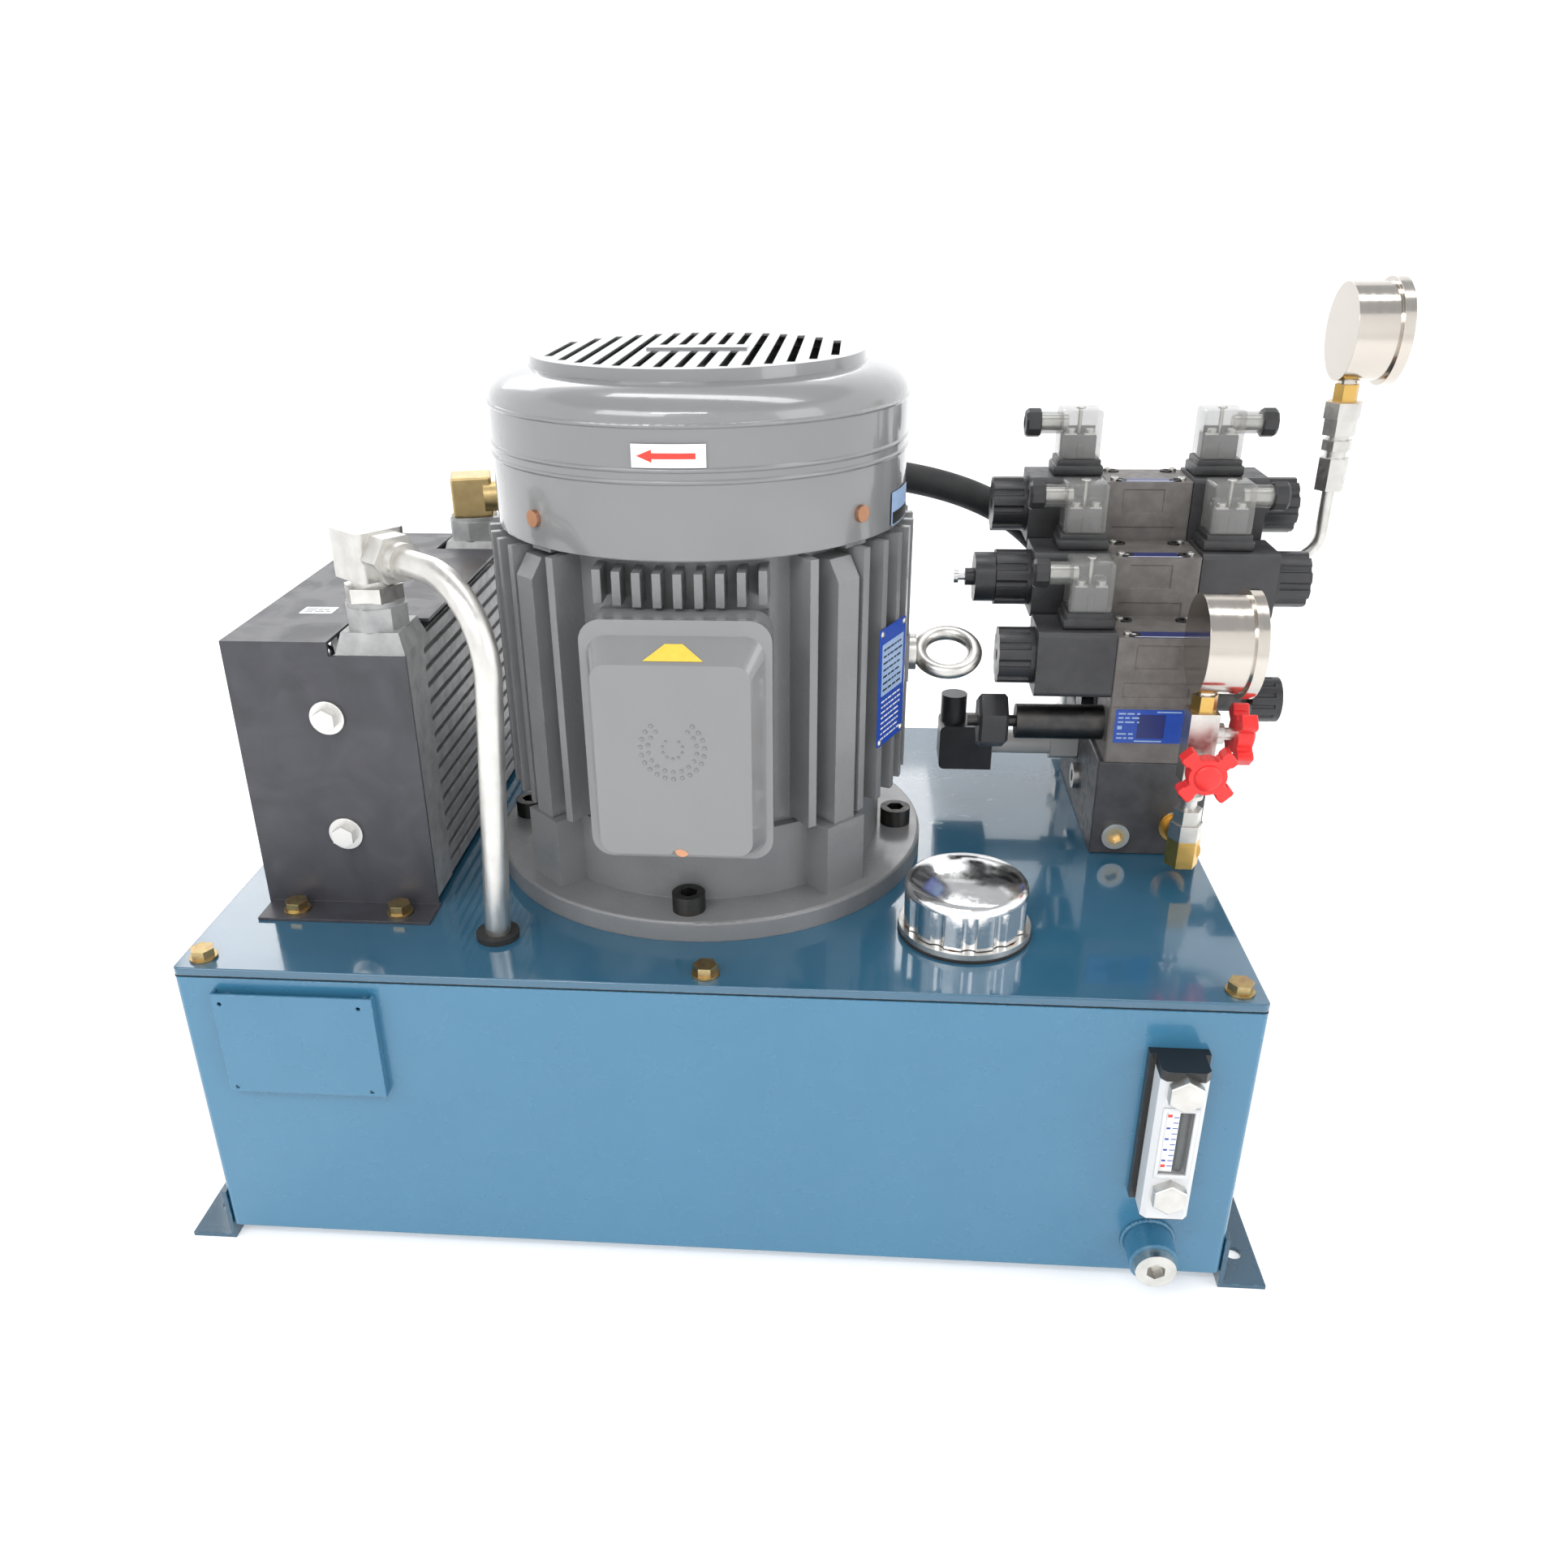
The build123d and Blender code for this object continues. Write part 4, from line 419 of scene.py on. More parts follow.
def plug_zinc(name):
    """Zinc-plated plugs; the front one has a brass middle."""
    f = Finish(name, (0.64, 0.63, 0.60), 0.30, metallic=1.0, edge=0.4)
    f.mottle((0.40, 0.38, 0.34), scale=90, amount=0.5, detail=5)
    f.tint(f.within({"X": 0.2688, "Z": 0.2332}, 0.0068), (0.74, 0.58, 0.34))
    f.roughen(f.remap(f.noise(300, detail=4), 0.35, 0.7), 0.14)
    return f.done()


def switch_finish(name):
    """Black moulded switch on a zinc-plated stem."""
    f = Finish(name, (0.018, 0.018, 0.020), 0.36, edge=0.5)
    f.mottle((0.04, 0.04, 0.043), scale=60, amount=0.5, detail=4)
    f.tint(f.above("X", 0.1888), (0.60, 0.59, 0.57))
    f.relief(f.noise(1100, detail=2), 0.00005)
    return f.done()


def moulded(name, color, rough=0.42, grain=0.00005, lift=1.8):
    """Moulded plastic with a fine spark-eroded grain."""
    f = Finish(name, color, rough, edge=0.5)
    f.mottle(tuple(min(1, c * lift + 0.003) for c in color), scale=60, amount=0.5, detail=4)
    f.roughen(f.remap(f.noise(140, detail=4), 0.4, 0.7), 0.14)
    f.relief(f.noise(1100, detail=2), grain)
    f.wear(tuple(min(1, c * 3 + 0.05) for c in color), radius=0.0005, amount=0.35)
    return f.done()


def cast_metal(name, color, rough, metallic, pebble=0.00015):
    """Sand or die casting: pebbled, with darker patches spread by noise."""
    f = Finish(name, color, rough, metallic=metallic, edge=0.8)
    f.mottle(tuple(c * 0.55 for c in color), scale=90, amount=0.7, detail=5)
    f.roughen(f.remap(f.noise(200, detail=4), 0.4, 0.7), 0.15)
    f.relief(f.noise(520, detail=4, rough=0.6), pebble)
    f.wear(tuple(min(1, c * 1.9 + 0.03) for c in color), radius=0.0008, amount=0.5)
    return f.done()


def clear_plastic(name, color, alpha, rough=0.12):
    """Clear moulding, slightly smoky."""
    f = Finish(name, color, rough, edge=0.6)
    f.mottle(tuple(c * 0.7 for c in color), scale=120, amount=0.4)
    f.relief(f.noise(700, detail=2), 0.00003)
    mat = f.done(Alpha=alpha, Coat_Weight=0.6, Coat_Roughness=0.05)
    return mat


def flat_print(name, color, rough=0.35):
    """Printed or painted film, with slight dirt."""
    f = Finish(name, color, rough, edge=0.0)
    f.mottle(tuple(c * 0.78 for c in color), scale=240, amount=0.5, detail=4)
    f.relief(f.noise(900, detail=2), 0.00001)
    return f.done()


def hose_rubber(name):
    """Black hose cover with the cloth-wrap marks it was cured in."""
    f = Finish(name, (0.018, 0.018, 0.019), 0.55, edge=0.0)
    f.mottle((0.035, 0.035, 0.036), scale=40, amount=0.6, detail=5)
    f.relief(f.noise(1300, detail=2, stretch=(1, 3, 3)), 0.00018)
    f.roughen(f.remap(f.noise(90, detail=4), 0.4, 0.7), 0.15)
    return f.done()


def fittings_metal(name, brass_zones):
    """Zinc-plated fittings, brass between each pair of heights."""
    f = Finish(name, (0.62, 0.61, 0.58), 0.28, metallic=1.0, edge=0.4)
    f.mottle((0.38, 0.36, 0.33), scale=90, amount=0.5, detail=5)
    f.roughen(f.remap(f.noise(300, detail=4), 0.35, 0.7), 0.14)
    f.relief(f.noise(1400, detail=3), 0.00003)
    for low, high in brass_zones:
        f.tint(f.between("Z", low, high), (0.62, 0.40, 0.12))
    return f.done()


MATERIALS = {
    "tank": tank_paint("tank_enamel"),
    # the cover and the feet take the tank's blue enamel darkened by a factor, as painted shade
    "cover": tank_paint("cover_enamel", scuffs=True, painted_shade=0.62),
    "feet": tank_paint("foot_enamel", painted_shade=0.45),
    "motor_cast": motor_paint("motor_cast_enamel"),
    "motor_sheet": motor_paint("motor_sheet_enamel", cast=False),
    "black_sheet": powder_coat("black_powder_coat", (0.036, 0.036, 0.043), 0.36),
    "rubber": moulded("seal_rubber", (0.012, 0.012, 0.012), 0.6),
    "zinc": plated("zinc_plate", (0.66, 0.65, 0.62), 0.28),
    "tube": plated(
        "drawn_zinc_tube",
        (0.70, 0.69, 0.66),
        0.30,
        tarnish=(0.50, 0.48, 0.44),
        grain=(1, 1, 0.08),
    ),
    "chrome": plated("bright_chrome", (0.80, 0.80, 0.80), 0.05, tarnish=(0.62, 0.62, 0.62)),
    "stainless": brushed_case("stainless_case"),
    "gauge_body": silver_front("level_gauge_moulding"),
    "bolts": bolt_zinc("bolt_passivate"),
    "plugs": plug_zinc("plug_zinc_plate"),
    "switch": switch_finish("switch_moulding"),
    "black_oxide": plated("black_oxide", (0.06, 0.06, 0.06), 0.36, tarnish=(0.12, 0.11, 0.10)),
    "ground": plated("ground_steel", (0.58, 0.58, 0.59), 0.22),
    "copper": plated("copper_screw", (0.62, 0.32, 0.19), 0.3, tarnish=(0.40, 0.22, 0.14)),
    "brass": plated("machined_brass", (0.56, 0.42, 0.20), 0.32, tarnish=(0.36, 0.26, 0.13)),
    "aluminium": cast_metal("cooler_aluminium", (0.40, 0.40, 0.40), 0.42, 0.35, 0.00010),
    "cast_aluminium": cast_metal("cast_aluminium", (0.70, 0.70, 0.69), 0.45, 0.7, 0.00025),
    "manifold": cast_metal("blackened_block", (0.075, 0.075, 0.080), 0.40, 0.4, 0.00004),
    "valve": cast_metal("phosphated_iron", (0.165, 0.152, 0.143), 0.44, 0.25, 0.00022),
    "coil": moulded("coil_housing", (0.030, 0.030, 0.032), 0.40),
    "nut": moulded("coil_nut", (0.022, 0.022, 0.024), 0.32),
    "black": moulded("black_moulding", (0.020, 0.020, 0.021), 0.38),
    "black_gloss": moulded("black_gloss_moulding", (0.012, 0.012, 0.013), 0.16),
    "red": moulded("red_moulding", (0.70, 0.022, 0.020), 0.30, lift=1.2),
    "grey_plastic": moulded("grey_insulator", (0.085, 0.082, 0.088), 0.45),
    "clear": clear_plastic("clear_hood", (0.30, 0.30, 0.285), 0.40),
    "lens": clear_plastic("clear_lens", (0.75, 0.80, 0.80), 0.12, 0.05),
    "silver_lacquer": moulded("silver_lacquer", (0.60, 0.61, 0.62), 0.30, lift=1.1),
    "white": flat_print("white_print", (0.80, 0.80, 0.79)),
    "print_black": flat_print("black_print", (0.015, 0.015, 0.015)),
    "print_red": flat_print("red_print", (0.75, 0.045, 0.03)),
    "print_blue": flat_print("blue_print", (0.012, 0.060, 0.36)),
    "print_navy": flat_print("navy_print", (0.012, 0.022, 0.13)),
    "print_pale": flat_print("pale_blue_print", (0.30, 0.42, 0.62)),
    "print_yellow": flat_print("yellow_print", (0.72, 0.50, 0.05)),
    "laminations": plated("laminations", (0.28, 0.26, 0.24), 0.5, grain=(1, 1, 20)),
    "mesh": plated("woven_mesh", (0.45, 0.45, 0.44), 0.5, grain=(4, 4, 4)),
    "fan": moulded("fan_moulding", (0.05, 0.05, 0.052), 0.45),
    "hose": hose_rubber("hose_cover"),
}
BRASS_HEIGHTS = ((0.222, 0.2505), (0.341, 0.352), (0.508, 0.520))
MATERIALS["gauge_fittings"] = fittings_metal("gauge_fittings_metal", BRASS_HEIGHTS)

NODE_MATERIALS = {
    "tank_shell": "tank",
    "tank_cover": "cover",
    "rubber_seals": "rubber",
    "tank_feet": "feet",
    "hex_bolts": "bolts",
    "nameplate_bracket": "tank",
    "level_gauge_body": "gauge_body",
    "level_gauge_window": "lens",
    "level_gauge_bolts": "zinc",
    "port_plugs": "plugs",
    "filler_neck": "zinc",
    "filler_cap": "chrome",
    "motor_flange": "motor_cast",
    "motor_frame": "motor_cast",
    "motor_end_shield": "motor_cast",
    "fan_cowl": "motor_sheet",
    "terminal_box": "motor_cast",
    "terminal_cover": "motor_sheet",
    "trim_screws": "copper",
    "socket_screws": "black_oxide",
    "eye_bolt": "zinc",
    "stator": "laminations",
    "motor_bearings": "ground",
    "rotor_shaft": "ground",
    "cooling_fan": "fan",
    "pump_drive_gear": "ground",
    "pump_driven_gear": "ground",
    "pump_body": "cast_aluminium",
    "pump_cover": "cast_aluminium",
    "suction_strainer": "mesh",
    "pressure_pipe": "tube",
    "cooler_core": "aluminium",
    "cooler_shroud": "black_sheet",
    "cooler_fan_motor": "black",
    "cooler_fan": "fan",
    "fan_guard": "black_sheet",
    "return_tube": "tube",
    "inlet_elbow": "brass",
    "steel_fittings": "zinc",
    "manifold_block": "manifold",
    "sandwich_modules": "valve",
    "valve_cartridges": "black_oxide",
    "valve_bodies": "valve",
    "solenoid_coils": "coil",
    "coil_nuts": "nut",
    "pressure_switch": "switch",
    "gauge_fittings": "gauge_fittings",
    "gauge_cases": "stainless",
    "gauge_lenses": "lens",
    "pointer_front": "print_black",
    "pointer_rear": "print_black",
    "handwheel_front": "red",
    "handwheel_side": "red",
    "relief_knob_left": "nut",
    "relief_knob_right": "nut",
    "spool_front": "ground",
    "spool_middle": "ground",
    "spool_rear": "ground",
}
for node_name, material_name in NODE_MATERIALS.items():
    data = nodes[node_name].data
    data.materials.clear()
    data.materials.append(MATERIALS[material_name])


# ---------------------------------------------------------------- mesh building
class Shape:
    """A mesh being built from simple closed forms."""

    def __init__(self):
        self.bm = bmesh.new()

    def place(self, geom_verts, matrix):
        bmesh.ops.transform(self.bm, matrix=matrix, verts=geom_verts)

    def box(self, low, high, bevel=0.0, segments=2, turn=None):
        """Box between two corners, with rounded edges."""
        low, high = Vector(low), Vector(high)
        made = bmesh.ops.create_cube(self.bm, size=1)
        size = high - low
        matrix = Matrix.Translation((low + high) / 2) @ Matrix.Diagonal((*size, 1))
        if turn is not None:
            matrix = turn @ matrix
        self.place(made["verts"], matrix)
        if bevel > 0:
            edges = {e for v in made["verts"] for e in v.link_edges}
            bmesh.ops.bevel(
                self.bm, geom=list(edges), offset=bevel, segments=segments, affect="EDGES", profile=0.5
            )
        return self

    def lathe(self, profile, origin, axis, segments=48):
        """Turns a profile of (radius, distance along the axis) points about the axis."""
        turn = Vector(axis).to_track_quat("Z", "X").to_matrix().to_4x4()
        matrix = Matrix.Translation(origin) @ turn
        rings = []
        for radius, along in profile:
            if radius < 1e-6:
                rings.append([self.bm.verts.new(matrix @ Vector((0, 0, along)))])
                continue
            ring_verts = []
            for step in range(segments):
                angle = 2 * math.pi * step / segments
                point = Vector((radius * math.cos(angle), radius * math.sin(angle), along))
                ring_verts.append(self.bm.verts.new(matrix @ point))
            rings.append(ring_verts)
        for lower, upper in zip(rings, rings[1:]):
            for step in range(segments):
                following = (step + 1) % segments
                if len(lower) == 1 and len(upper) == 1:
                    continue
                if len(lower) == 1:
                    self.bm.faces.new((lower[0], upper[following], upper[step]))
                elif len(upper) == 1:
                    self.bm.faces.new((lower[step], lower[following], upper[0]))
                else:
                    self.bm.faces.new((lower[step], lower[following], upper[following], upper[step]))
        return self

    def rod(self, radius, origin, axis, length, segments=32, bevel=0.0):
        """Closed cylinder with slightly broken ends."""
        b = bevel
        profile = [
            (0, 0),
            (radius - b, 0),
            (radius, b),
            (radius, length - b),
            (radius - b, length),
            (0, length),
        ]
        if b <= 0:
            profile = [(0, 0), (radius, 0), (radius, length), (0, length)]
        return self.lathe(profile, origin, axis, segments)

    def outline(self, points, origin, across, normal, depth):
        """Flat outline of (u, v) points, made solid along its normal."""
        across, normal = Vector(across).normalized(), Vector(normal).normalized()
        upward = normal.cross(across)
        base = [self.bm.verts.new(Vector(origin) + across * u + upward * v) for u, v in points]
        face = self.bm.faces.new(base)
        made = bmesh.ops.extrude_face_region(self.bm, geom=[face])
        moved = [g for g in made["geom"] if isinstance(g, bmesh.types.BMVert)]
        bmesh.ops.translate(self.bm, verts=moved, vec=normal * depth)
        return self

    def finish(self, name, material, body="tank", sharp=32):
        """Makes the object, shades it smooth between sharp edges and sets it on its body."""
        bmesh.ops.recalc_face_normals(self.bm, faces=self.bm.faces)
        mesh = bpy.data.meshes.new(name)
        for face in self.bm.faces:
            face.smooth = True
        for edge in self.bm.edges:
            if len(edge.link_faces) == 2 and edge.calc_face_angle(0) > math.radians(sharp):
                edge.smooth = False
        self.bm.to_mesh(mesh)
        self.bm.free()
        mesh.materials.append(MATERIALS[material])
        piece = bpy.data.objects.new(name, mesh)
        bpy.context.scene.collection.objects.link(piece)
        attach(piece, body)
        return piece


# ---------------------------------------------------------------- return hose
HOSE_ROUTE = [
    (0.264, 0.150, 0.276),
    (0.264, 0.150, 0.323),
    (0.2469, 0.151, 0.370),
    (0.2148, 0.150, 0.4083),
    (0.1715, 0.148, 0.4333),
    (0.1133, 0.147, 0.4478),
    (0.050, 0.149, 0.4505),
    (-0.012, 0.150, 0.448),
    (-0.068, 0.147, 0.442),
    (-0.118, 0.138, 0.4365),
    (-0.162, 0.1265, 0.436),
]
HOSE_RADIUS = 11 * MM


def add_hose():
    """Return hose as one smooth curve from the manifold's elbow to the cooler's inlet."""
    data = bpy.data.curves.new("return_hose_cover", "CURVE")
    data.dimensions = "3D"
    spline = data.splines.new("NURBS")
    spline.points.add(len(HOSE_ROUTE) - 1)
    for point, place in zip(spline.points, HOSE_ROUTE):
        point.co = (*place, 1)
    spline.order_u = 3
    spline.use_endpoint_u = True
    data.resolution_u = 16
    data.bevel_depth = HOSE_RADIUS
    data.bevel_resolution = 8
    data.use_fill_caps = True
    data.materials.append(MATERIALS["hose"])
    hose = bpy.data.objects.new("return_hose_cover", data)
    bpy.context.scene.collection.objects.link(hose)
    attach(hose, "tank")
    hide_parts("return_hose")


add_hose()


# ---------------------------------------------------------------- DIN plugs on the coils
def add_din_plug(station, side):
    """One plug: base, clear hood over its terminals, central screw, clear arm and gland nut."""
    axis = spools[station]
    x = (body_low.x + body_high.x) / 2 + side * 48 * MM
    y = axis.y
    low = axis.z + coil_half + 0.1 * MM
    tag = f"{station}_{'left' if side < 0 else 'right'}"

    base = Shape()
    base.box((x - 17 * MM, y - 15 * MM, low), (x + 17 * MM, y + 15 * MM, low + 7 * MM), 1.6 * MM)
    step_near = (x - 15 * MM, y - 14.2 * MM, low + 6 * MM)
    step_far = (x + 15 * MM, y + 14.2 * MM, low + 11 * MM)
    base.box(step_near, step_far, 0.8 * MM)
    base.finish(f"plug_base_{tag}", "black")

    insert = Shape()
    insert.box((x - 11 * MM, y - 11 * MM, low + 11 * MM), (x + 11 * MM, y + 11 * MM, low + 27 * MM), 1 * MM)
    insert.box((x - 2 * MM, y - 12 * MM, low + 12 * MM), (x + 2 * MM, y - 10.5 * MM, low + 22 * MM), 0.3 * MM)
    insert.box((x - 11 * MM, y - 1 * MM, low + 26 * MM), (x + 11 * MM, y + 1 * MM, low + 32 * MM), 0.4 * MM)
    insert.finish(f"plug_insert_{tag}", "grey_plastic")

    terminals = Shape()
    for dx, dy in ((-6.5, -6.5), (6.5, -6.5), (-6.5, 6.5), (6.5, 6.5)):
        place = (x + dx * MM, y + dy * MM, low + 26.5 * MM)
        terminals.rod(3.1 * MM, place, (0, 0, 1), 4.5 * MM, 20, 0.4 * MM)
        terminals.box(
            (place[0] - 4 * MM, place[1] - 3.2 * MM, low + 26.5 * MM),
            (place[0] + 4 * MM, place[1] + 3.2 * MM, low + 28 * MM),
            0.3 * MM,
        )
    terminals.finish(f"plug_terminals_{tag}", "zinc")

    hood = Shape()
    hood_near = (x - 14 * MM, y - 14 * MM, low + 10.5 * MM)
    hood_far = (x + 14 * MM, y + 14 * MM, low + 44 * MM)
    hood.box(hood_near, hood_far, 2.2 * MM, 3)
    hood.lathe(
        [(0, 12 * MM), (7.6 * MM, 12 * MM), (7.6 * MM, 27 * MM), (0, 27 * MM)],
        (x, y, low + 34 * MM),
        (side, 0, 0),
        32,
    )
    hood.finish(f"plug_hood_{tag}", "clear")

    bush = Shape()
    bush.rod(5.4 * MM, (x + side * 8 * MM, y, low + 34 * MM), (side, 0, 0), 20 * MM, 24, 0.4 * MM)
    bush.finish(f"plug_bush_{tag}", "zinc")

    nut = Shape()
    start = (x + side * 27 * MM, y, low + 34 * MM)
    nut.lathe(
        [
            (3.5 * MM, 0),
            (9 * MM, 0),
            (9.8 * MM, 1 * MM),
            (9.8 * MM, 8.6 * MM),
            (8.4 * MM, 10.4 * MM),
            (4.4 * MM, 11 * MM),
            (4.4 * MM, 5 * MM),
            (3.5 * MM, 5 * MM),
        ],
        start,
        (side, 0, 0),
        10,
    )
    nut.finish(f"plug_nut_{tag}", "black", sharp=20)

    screw = Shape()
    screw.rod(3.2 * MM, (x, y, low + 43.6 * MM), (0, 0, 1), 1.6 * MM, 24, 0.4 * MM)
    screw.rod(1.5 * MM, (x, y, low + 12 * MM), (0, 0, 1), 32 * MM, 12)
    screw.finish(f"plug_screw_{tag}", "zinc")
    return tag


first_tag = [add_din_plug(station, side) for station, side in coil_sides][0]
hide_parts("din_connectors")


# ---------------------------------------------------------------- thin printed pieces
def patch(name, material, origin, across, normal, size, thickness=0.25 * MM, radius=1.0 * MM):
    """Thin rounded plate or sticker, its middle at origin, standing off its surface."""
    half_u, half_v = size[0] / 2, size[1] / 2
    points = []
    for cu, cv, first in ((1, 1, 0), (-1, 1, 90), (-1, -1, 180), (1, -1, 270)):
        for step in range(5):
            angle = math.radians(first + step * 22.5)
            points.append(
                (
                    cu * (half_u - radius) + radius * math.cos(angle),
                    cv * (half_v - radius) + radius * math.sin(angle),
                )
            )
    shape = Shape()
    shape.outline(points, origin, across, normal, thickness)
    return shape.finish(name, material)


def bars(name, material, origin, across, normal, rects, thickness=0.12 * MM):
    """Several small printed rectangles on one face, as (u, v, width, height)."""
    shape = Shape()
    for u, v, width, height in rects:
        corners = [
            (u - width / 2, v - height / 2),
            (u + width / 2, v - height / 2),
            (u + width / 2, v + height / 2),
            (u - width / 2, v + height / 2),
        ]
        shape.outline(corners, origin, across, normal, thickness)
    return shape.finish(name, material)


def text_lines(count, width, pitch, top, left, height=1.0 * MM):
    """Short uneven bars in rows, standing for lines of unreadable small print."""
    rects = []
    for row in range(count):
        start = left
        while start < left + width * 0.9:
            run = random.uniform(2.0, 7.0) * MM
            run = min(run, left + width - start)
            rects.append((start + run / 2, top - row * pitch, run, height))
            start += run + random.uniform(0.9, 1.8) * MM
    return rects


# ---------------------------------------------------------------- pressure gauge dials
def add_dial(tag, case_centre, pointer):
    """Dial plate with its scale, figures and red limit mark, and the pointer's boss."""
    low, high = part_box(pointer)
    face_x = low.x - 1.95 * MM
    middle = Vector((face_x, case_centre.y, case_centre.z))

    disc = Shape()
    disc_profile = [(0, 0), (28.4 * MM, 0), (28.6 * MM, 0.2 * MM), (28.4 * MM, 0.5 * MM), (0, 0.5 * MM)]
    disc.lathe(disc_profile, middle, (1, 0, 0), 72)
    disc.finish(f"dial_{tag}", "white")

    marks = Shape()
    front = middle + Vector((0.5 * MM, 0, 0))
    ticks = 50
    for step in range(ticks + 1):
        sweep = math.radians(225 - 270 * step / ticks)
        long_tick = step % 10 == 0
        middle_tick = step % 5 == 0
        inner = (20.5 if long_tick else 22.0 if middle_tick else 23.2) * MM
        half = (0.45 if long_tick else 0.28 if middle_tick else 0.16) * MM
        direction = Vector((0, math.cos(sweep), math.sin(sweep)))
        marks.outline(
            [(inner, -half), (25.4 * MM, -half), (25.4 * MM, half), (inner, half)],
            front,
            direction,
            (1, 0, 0),
            0.12 * MM,
        )
    ring_profile = [
        (4.2 * MM, 0),
        (4.6 * MM, 0),
        (4.6 * MM, 0.12 * MM),
        (4.2 * MM, 0.12 * MM),
        (4.2 * MM, 0),
    ]
    marks.lathe(ring_profile, front, (1, 0, 0), 32)
    marks.finish(f"dial_marks_{tag}", "print_black")

    inner_scale = Shape()
    for step in range(19):
        sweep = math.radians(225 - 270 * step / 18)
        direction = Vector((0, math.cos(sweep), math.sin(sweep)))
        inner_scale.outline(
            [
                (16.8 * MM, -0.14 * MM),
                (18.4 * MM, -0.14 * MM),
                (18.4 * MM, 0.14 * MM),
                (16.8 * MM, 0.14 * MM),
            ],
            front,
            direction,
            (1, 0, 0),
            0.12 * MM,
        )
    inner_scale.finish(f"dial_inner_scale_{tag}", "print_red")

    for step in range(6):
        sweep = math.radians(225 - 54 * step)
        data = bpy.data.curves.new(f"dial_figure_{tag}_{step}", "FONT")
        data.body = str(step * 50)
        data.size = 5.0 * MM
        data.extrude = 0.06 * MM
        data.align_x = "CENTER"
        data.align_y = "CENTER"
        data.materials.append(MATERIALS["print_black"])
        figure = bpy.data.objects.new(f"dial_figure_{tag}_{step}", data)
        bpy.context.scene.collection.objects.link(figure)
        place = front + Vector((0.07 * MM, math.cos(sweep) * 13.6 * MM, math.sin(sweep) * 13.6 * MM))
        across, upward, outward = Vector((0, 1, 0)), Vector((0, 0, 1)), Vector((1, 0, 0))
        turn = Matrix((across, upward, outward)).transposed().to_4x4()
        figure.matrix_world = Matrix.Translation(place) @ turn
        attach(figure, "tank")

    bezel = Shape()
    outer_x = high.x + 13.5 * MM
    bezel.lathe(
        [
            (31.6 * MM, -0.6 * MM),
            (33.4 * MM, -0.6 * MM),
            (33.4 * MM, 0.8 * MM),
            (31.2 * MM, 1.3 * MM),
            (29.4 * MM, 0.9 * MM),
            (29.4 * MM, 0.1 * MM),
            (31.6 * MM, -0.6 * MM),
        ],
        (outer_x, case_centre.y, case_centre.z),
        (1, 0, 0),
        72,
    )
    bezel.finish(f"gauge_bezel_lip_{tag}", "stainless")


GAUGE_CENTRES = {
    "front": Vector((0, -0.059, 0.385)),
    "rear": Vector((0, 0.090, 0.5525)),
}
add_dial("front", GAUGE_CENTRES["front"], "pointer_front")
add_dial("rear", GAUGE_CENTRES["rear"], "pointer_rear")


# ---------------------------------------------------------------- fan cowl
def cowl_patch(name, material, angles, heights, radius):
    """Thin curved patch around the cowl, between two angles in degrees and two heights."""
    shape = Shape()
    steps = 18
    thickness = 0.3 * MM
    grid = {}
    for layer, r in enumerate((radius + 0.02 * MM, radius + thickness)):
        for i in range(steps + 1):
            angle = math.radians(angles[0] + (angles[1] - angles[0]) * i / steps)
            for j, z in enumerate(heights):
                place = (motor.x + r * math.cos(angle), motor.y + r * math.sin(angle), z)
                grid[layer, i, j] = shape.bm.verts.new(place)
    for i in range(steps):
        shape.bm.faces.new((grid[1, i, 0], grid[1, i + 1, 0], grid[1, i + 1, 1], grid[1, i, 1]))
        shape.bm.faces.new((grid[0, i, 1], grid[0, i + 1, 1], grid[0, i + 1, 0], grid[0, i, 0]))
        shape.bm.faces.new((grid[0, i, 0], grid[0, i + 1, 0], grid[1, i + 1, 0], grid[1, i, 0]))
        shape.bm.faces.new((grid[1, i, 1], grid[1, i + 1, 1], grid[0, i + 1, 1], grid[0, i, 1]))
    shape.bm.faces.new((grid[0, 0, 0], grid[1, 0, 0], grid[1, 0, 1], grid[0, 0, 1]))
    shape.bm.faces.new((grid[0, steps, 1], grid[1, steps, 1], grid[1, steps, 0], grid[0, steps, 0]))
    return shape.finish(name, material)


wall = cowl_radius
cowl_patch("arrow_label", "white", (-100, -82), (506.8 * MM, 519.5 * MM), wall)
# arrow along the label, its head to the left
cowl_patch("arrow_shaft", "print_red", (-95.5, -84.5), (511.6 * MM, 514.7 * MM), wall + 0.3 * MM)
head = Shape()
steps = 12
verts_out, verts_in = [], []
for layer_r, store in ((wall + 0.32 * MM, verts_in), (wall + 0.60 * MM, verts_out)):
    for i in range(steps + 1):
        angle = math.radians(-98.6 + 3.6 * i / steps)
        half = 3.4 * MM * i / steps + 0.02 * MM
        for sign in (-1, 1):
            place = (
                motor.x + layer_r * math.cos(angle),
                motor.y + layer_r * math.sin(angle),
                513.15 * MM + sign * half,
            )
            store.append(head.bm.verts.new(place))
for i in range(steps):
    a, b, c, d = 2 * i, 2 * i + 2, 2 * i + 3, 2 * i + 1
    head.bm.faces.new((verts_out[a], verts_out[b], verts_out[c], verts_out[d]))
    head.bm.faces.new((verts_in[d], verts_in[c], verts_in[b], verts_in[a]))
    head.bm.faces.new((verts_in[a], verts_in[b], verts_out[b], verts_out[a]))
    head.bm.faces.new((verts_out[d], verts_out[c], verts_in[c], verts_in[d]))
end = 2 * steps
head.bm.faces.new((verts_in[end], verts_in[end + 1], verts_out[end + 1], verts_out[end]))
head.bm.faces.new((verts_in[1], verts_in[0], verts_out[0], verts_out[1]))
head.finish("arrow_head", "print_red")
cowl_patch("side_label", "print_pale", (-23, -8), (457 * MM, 477 * MM), wall)
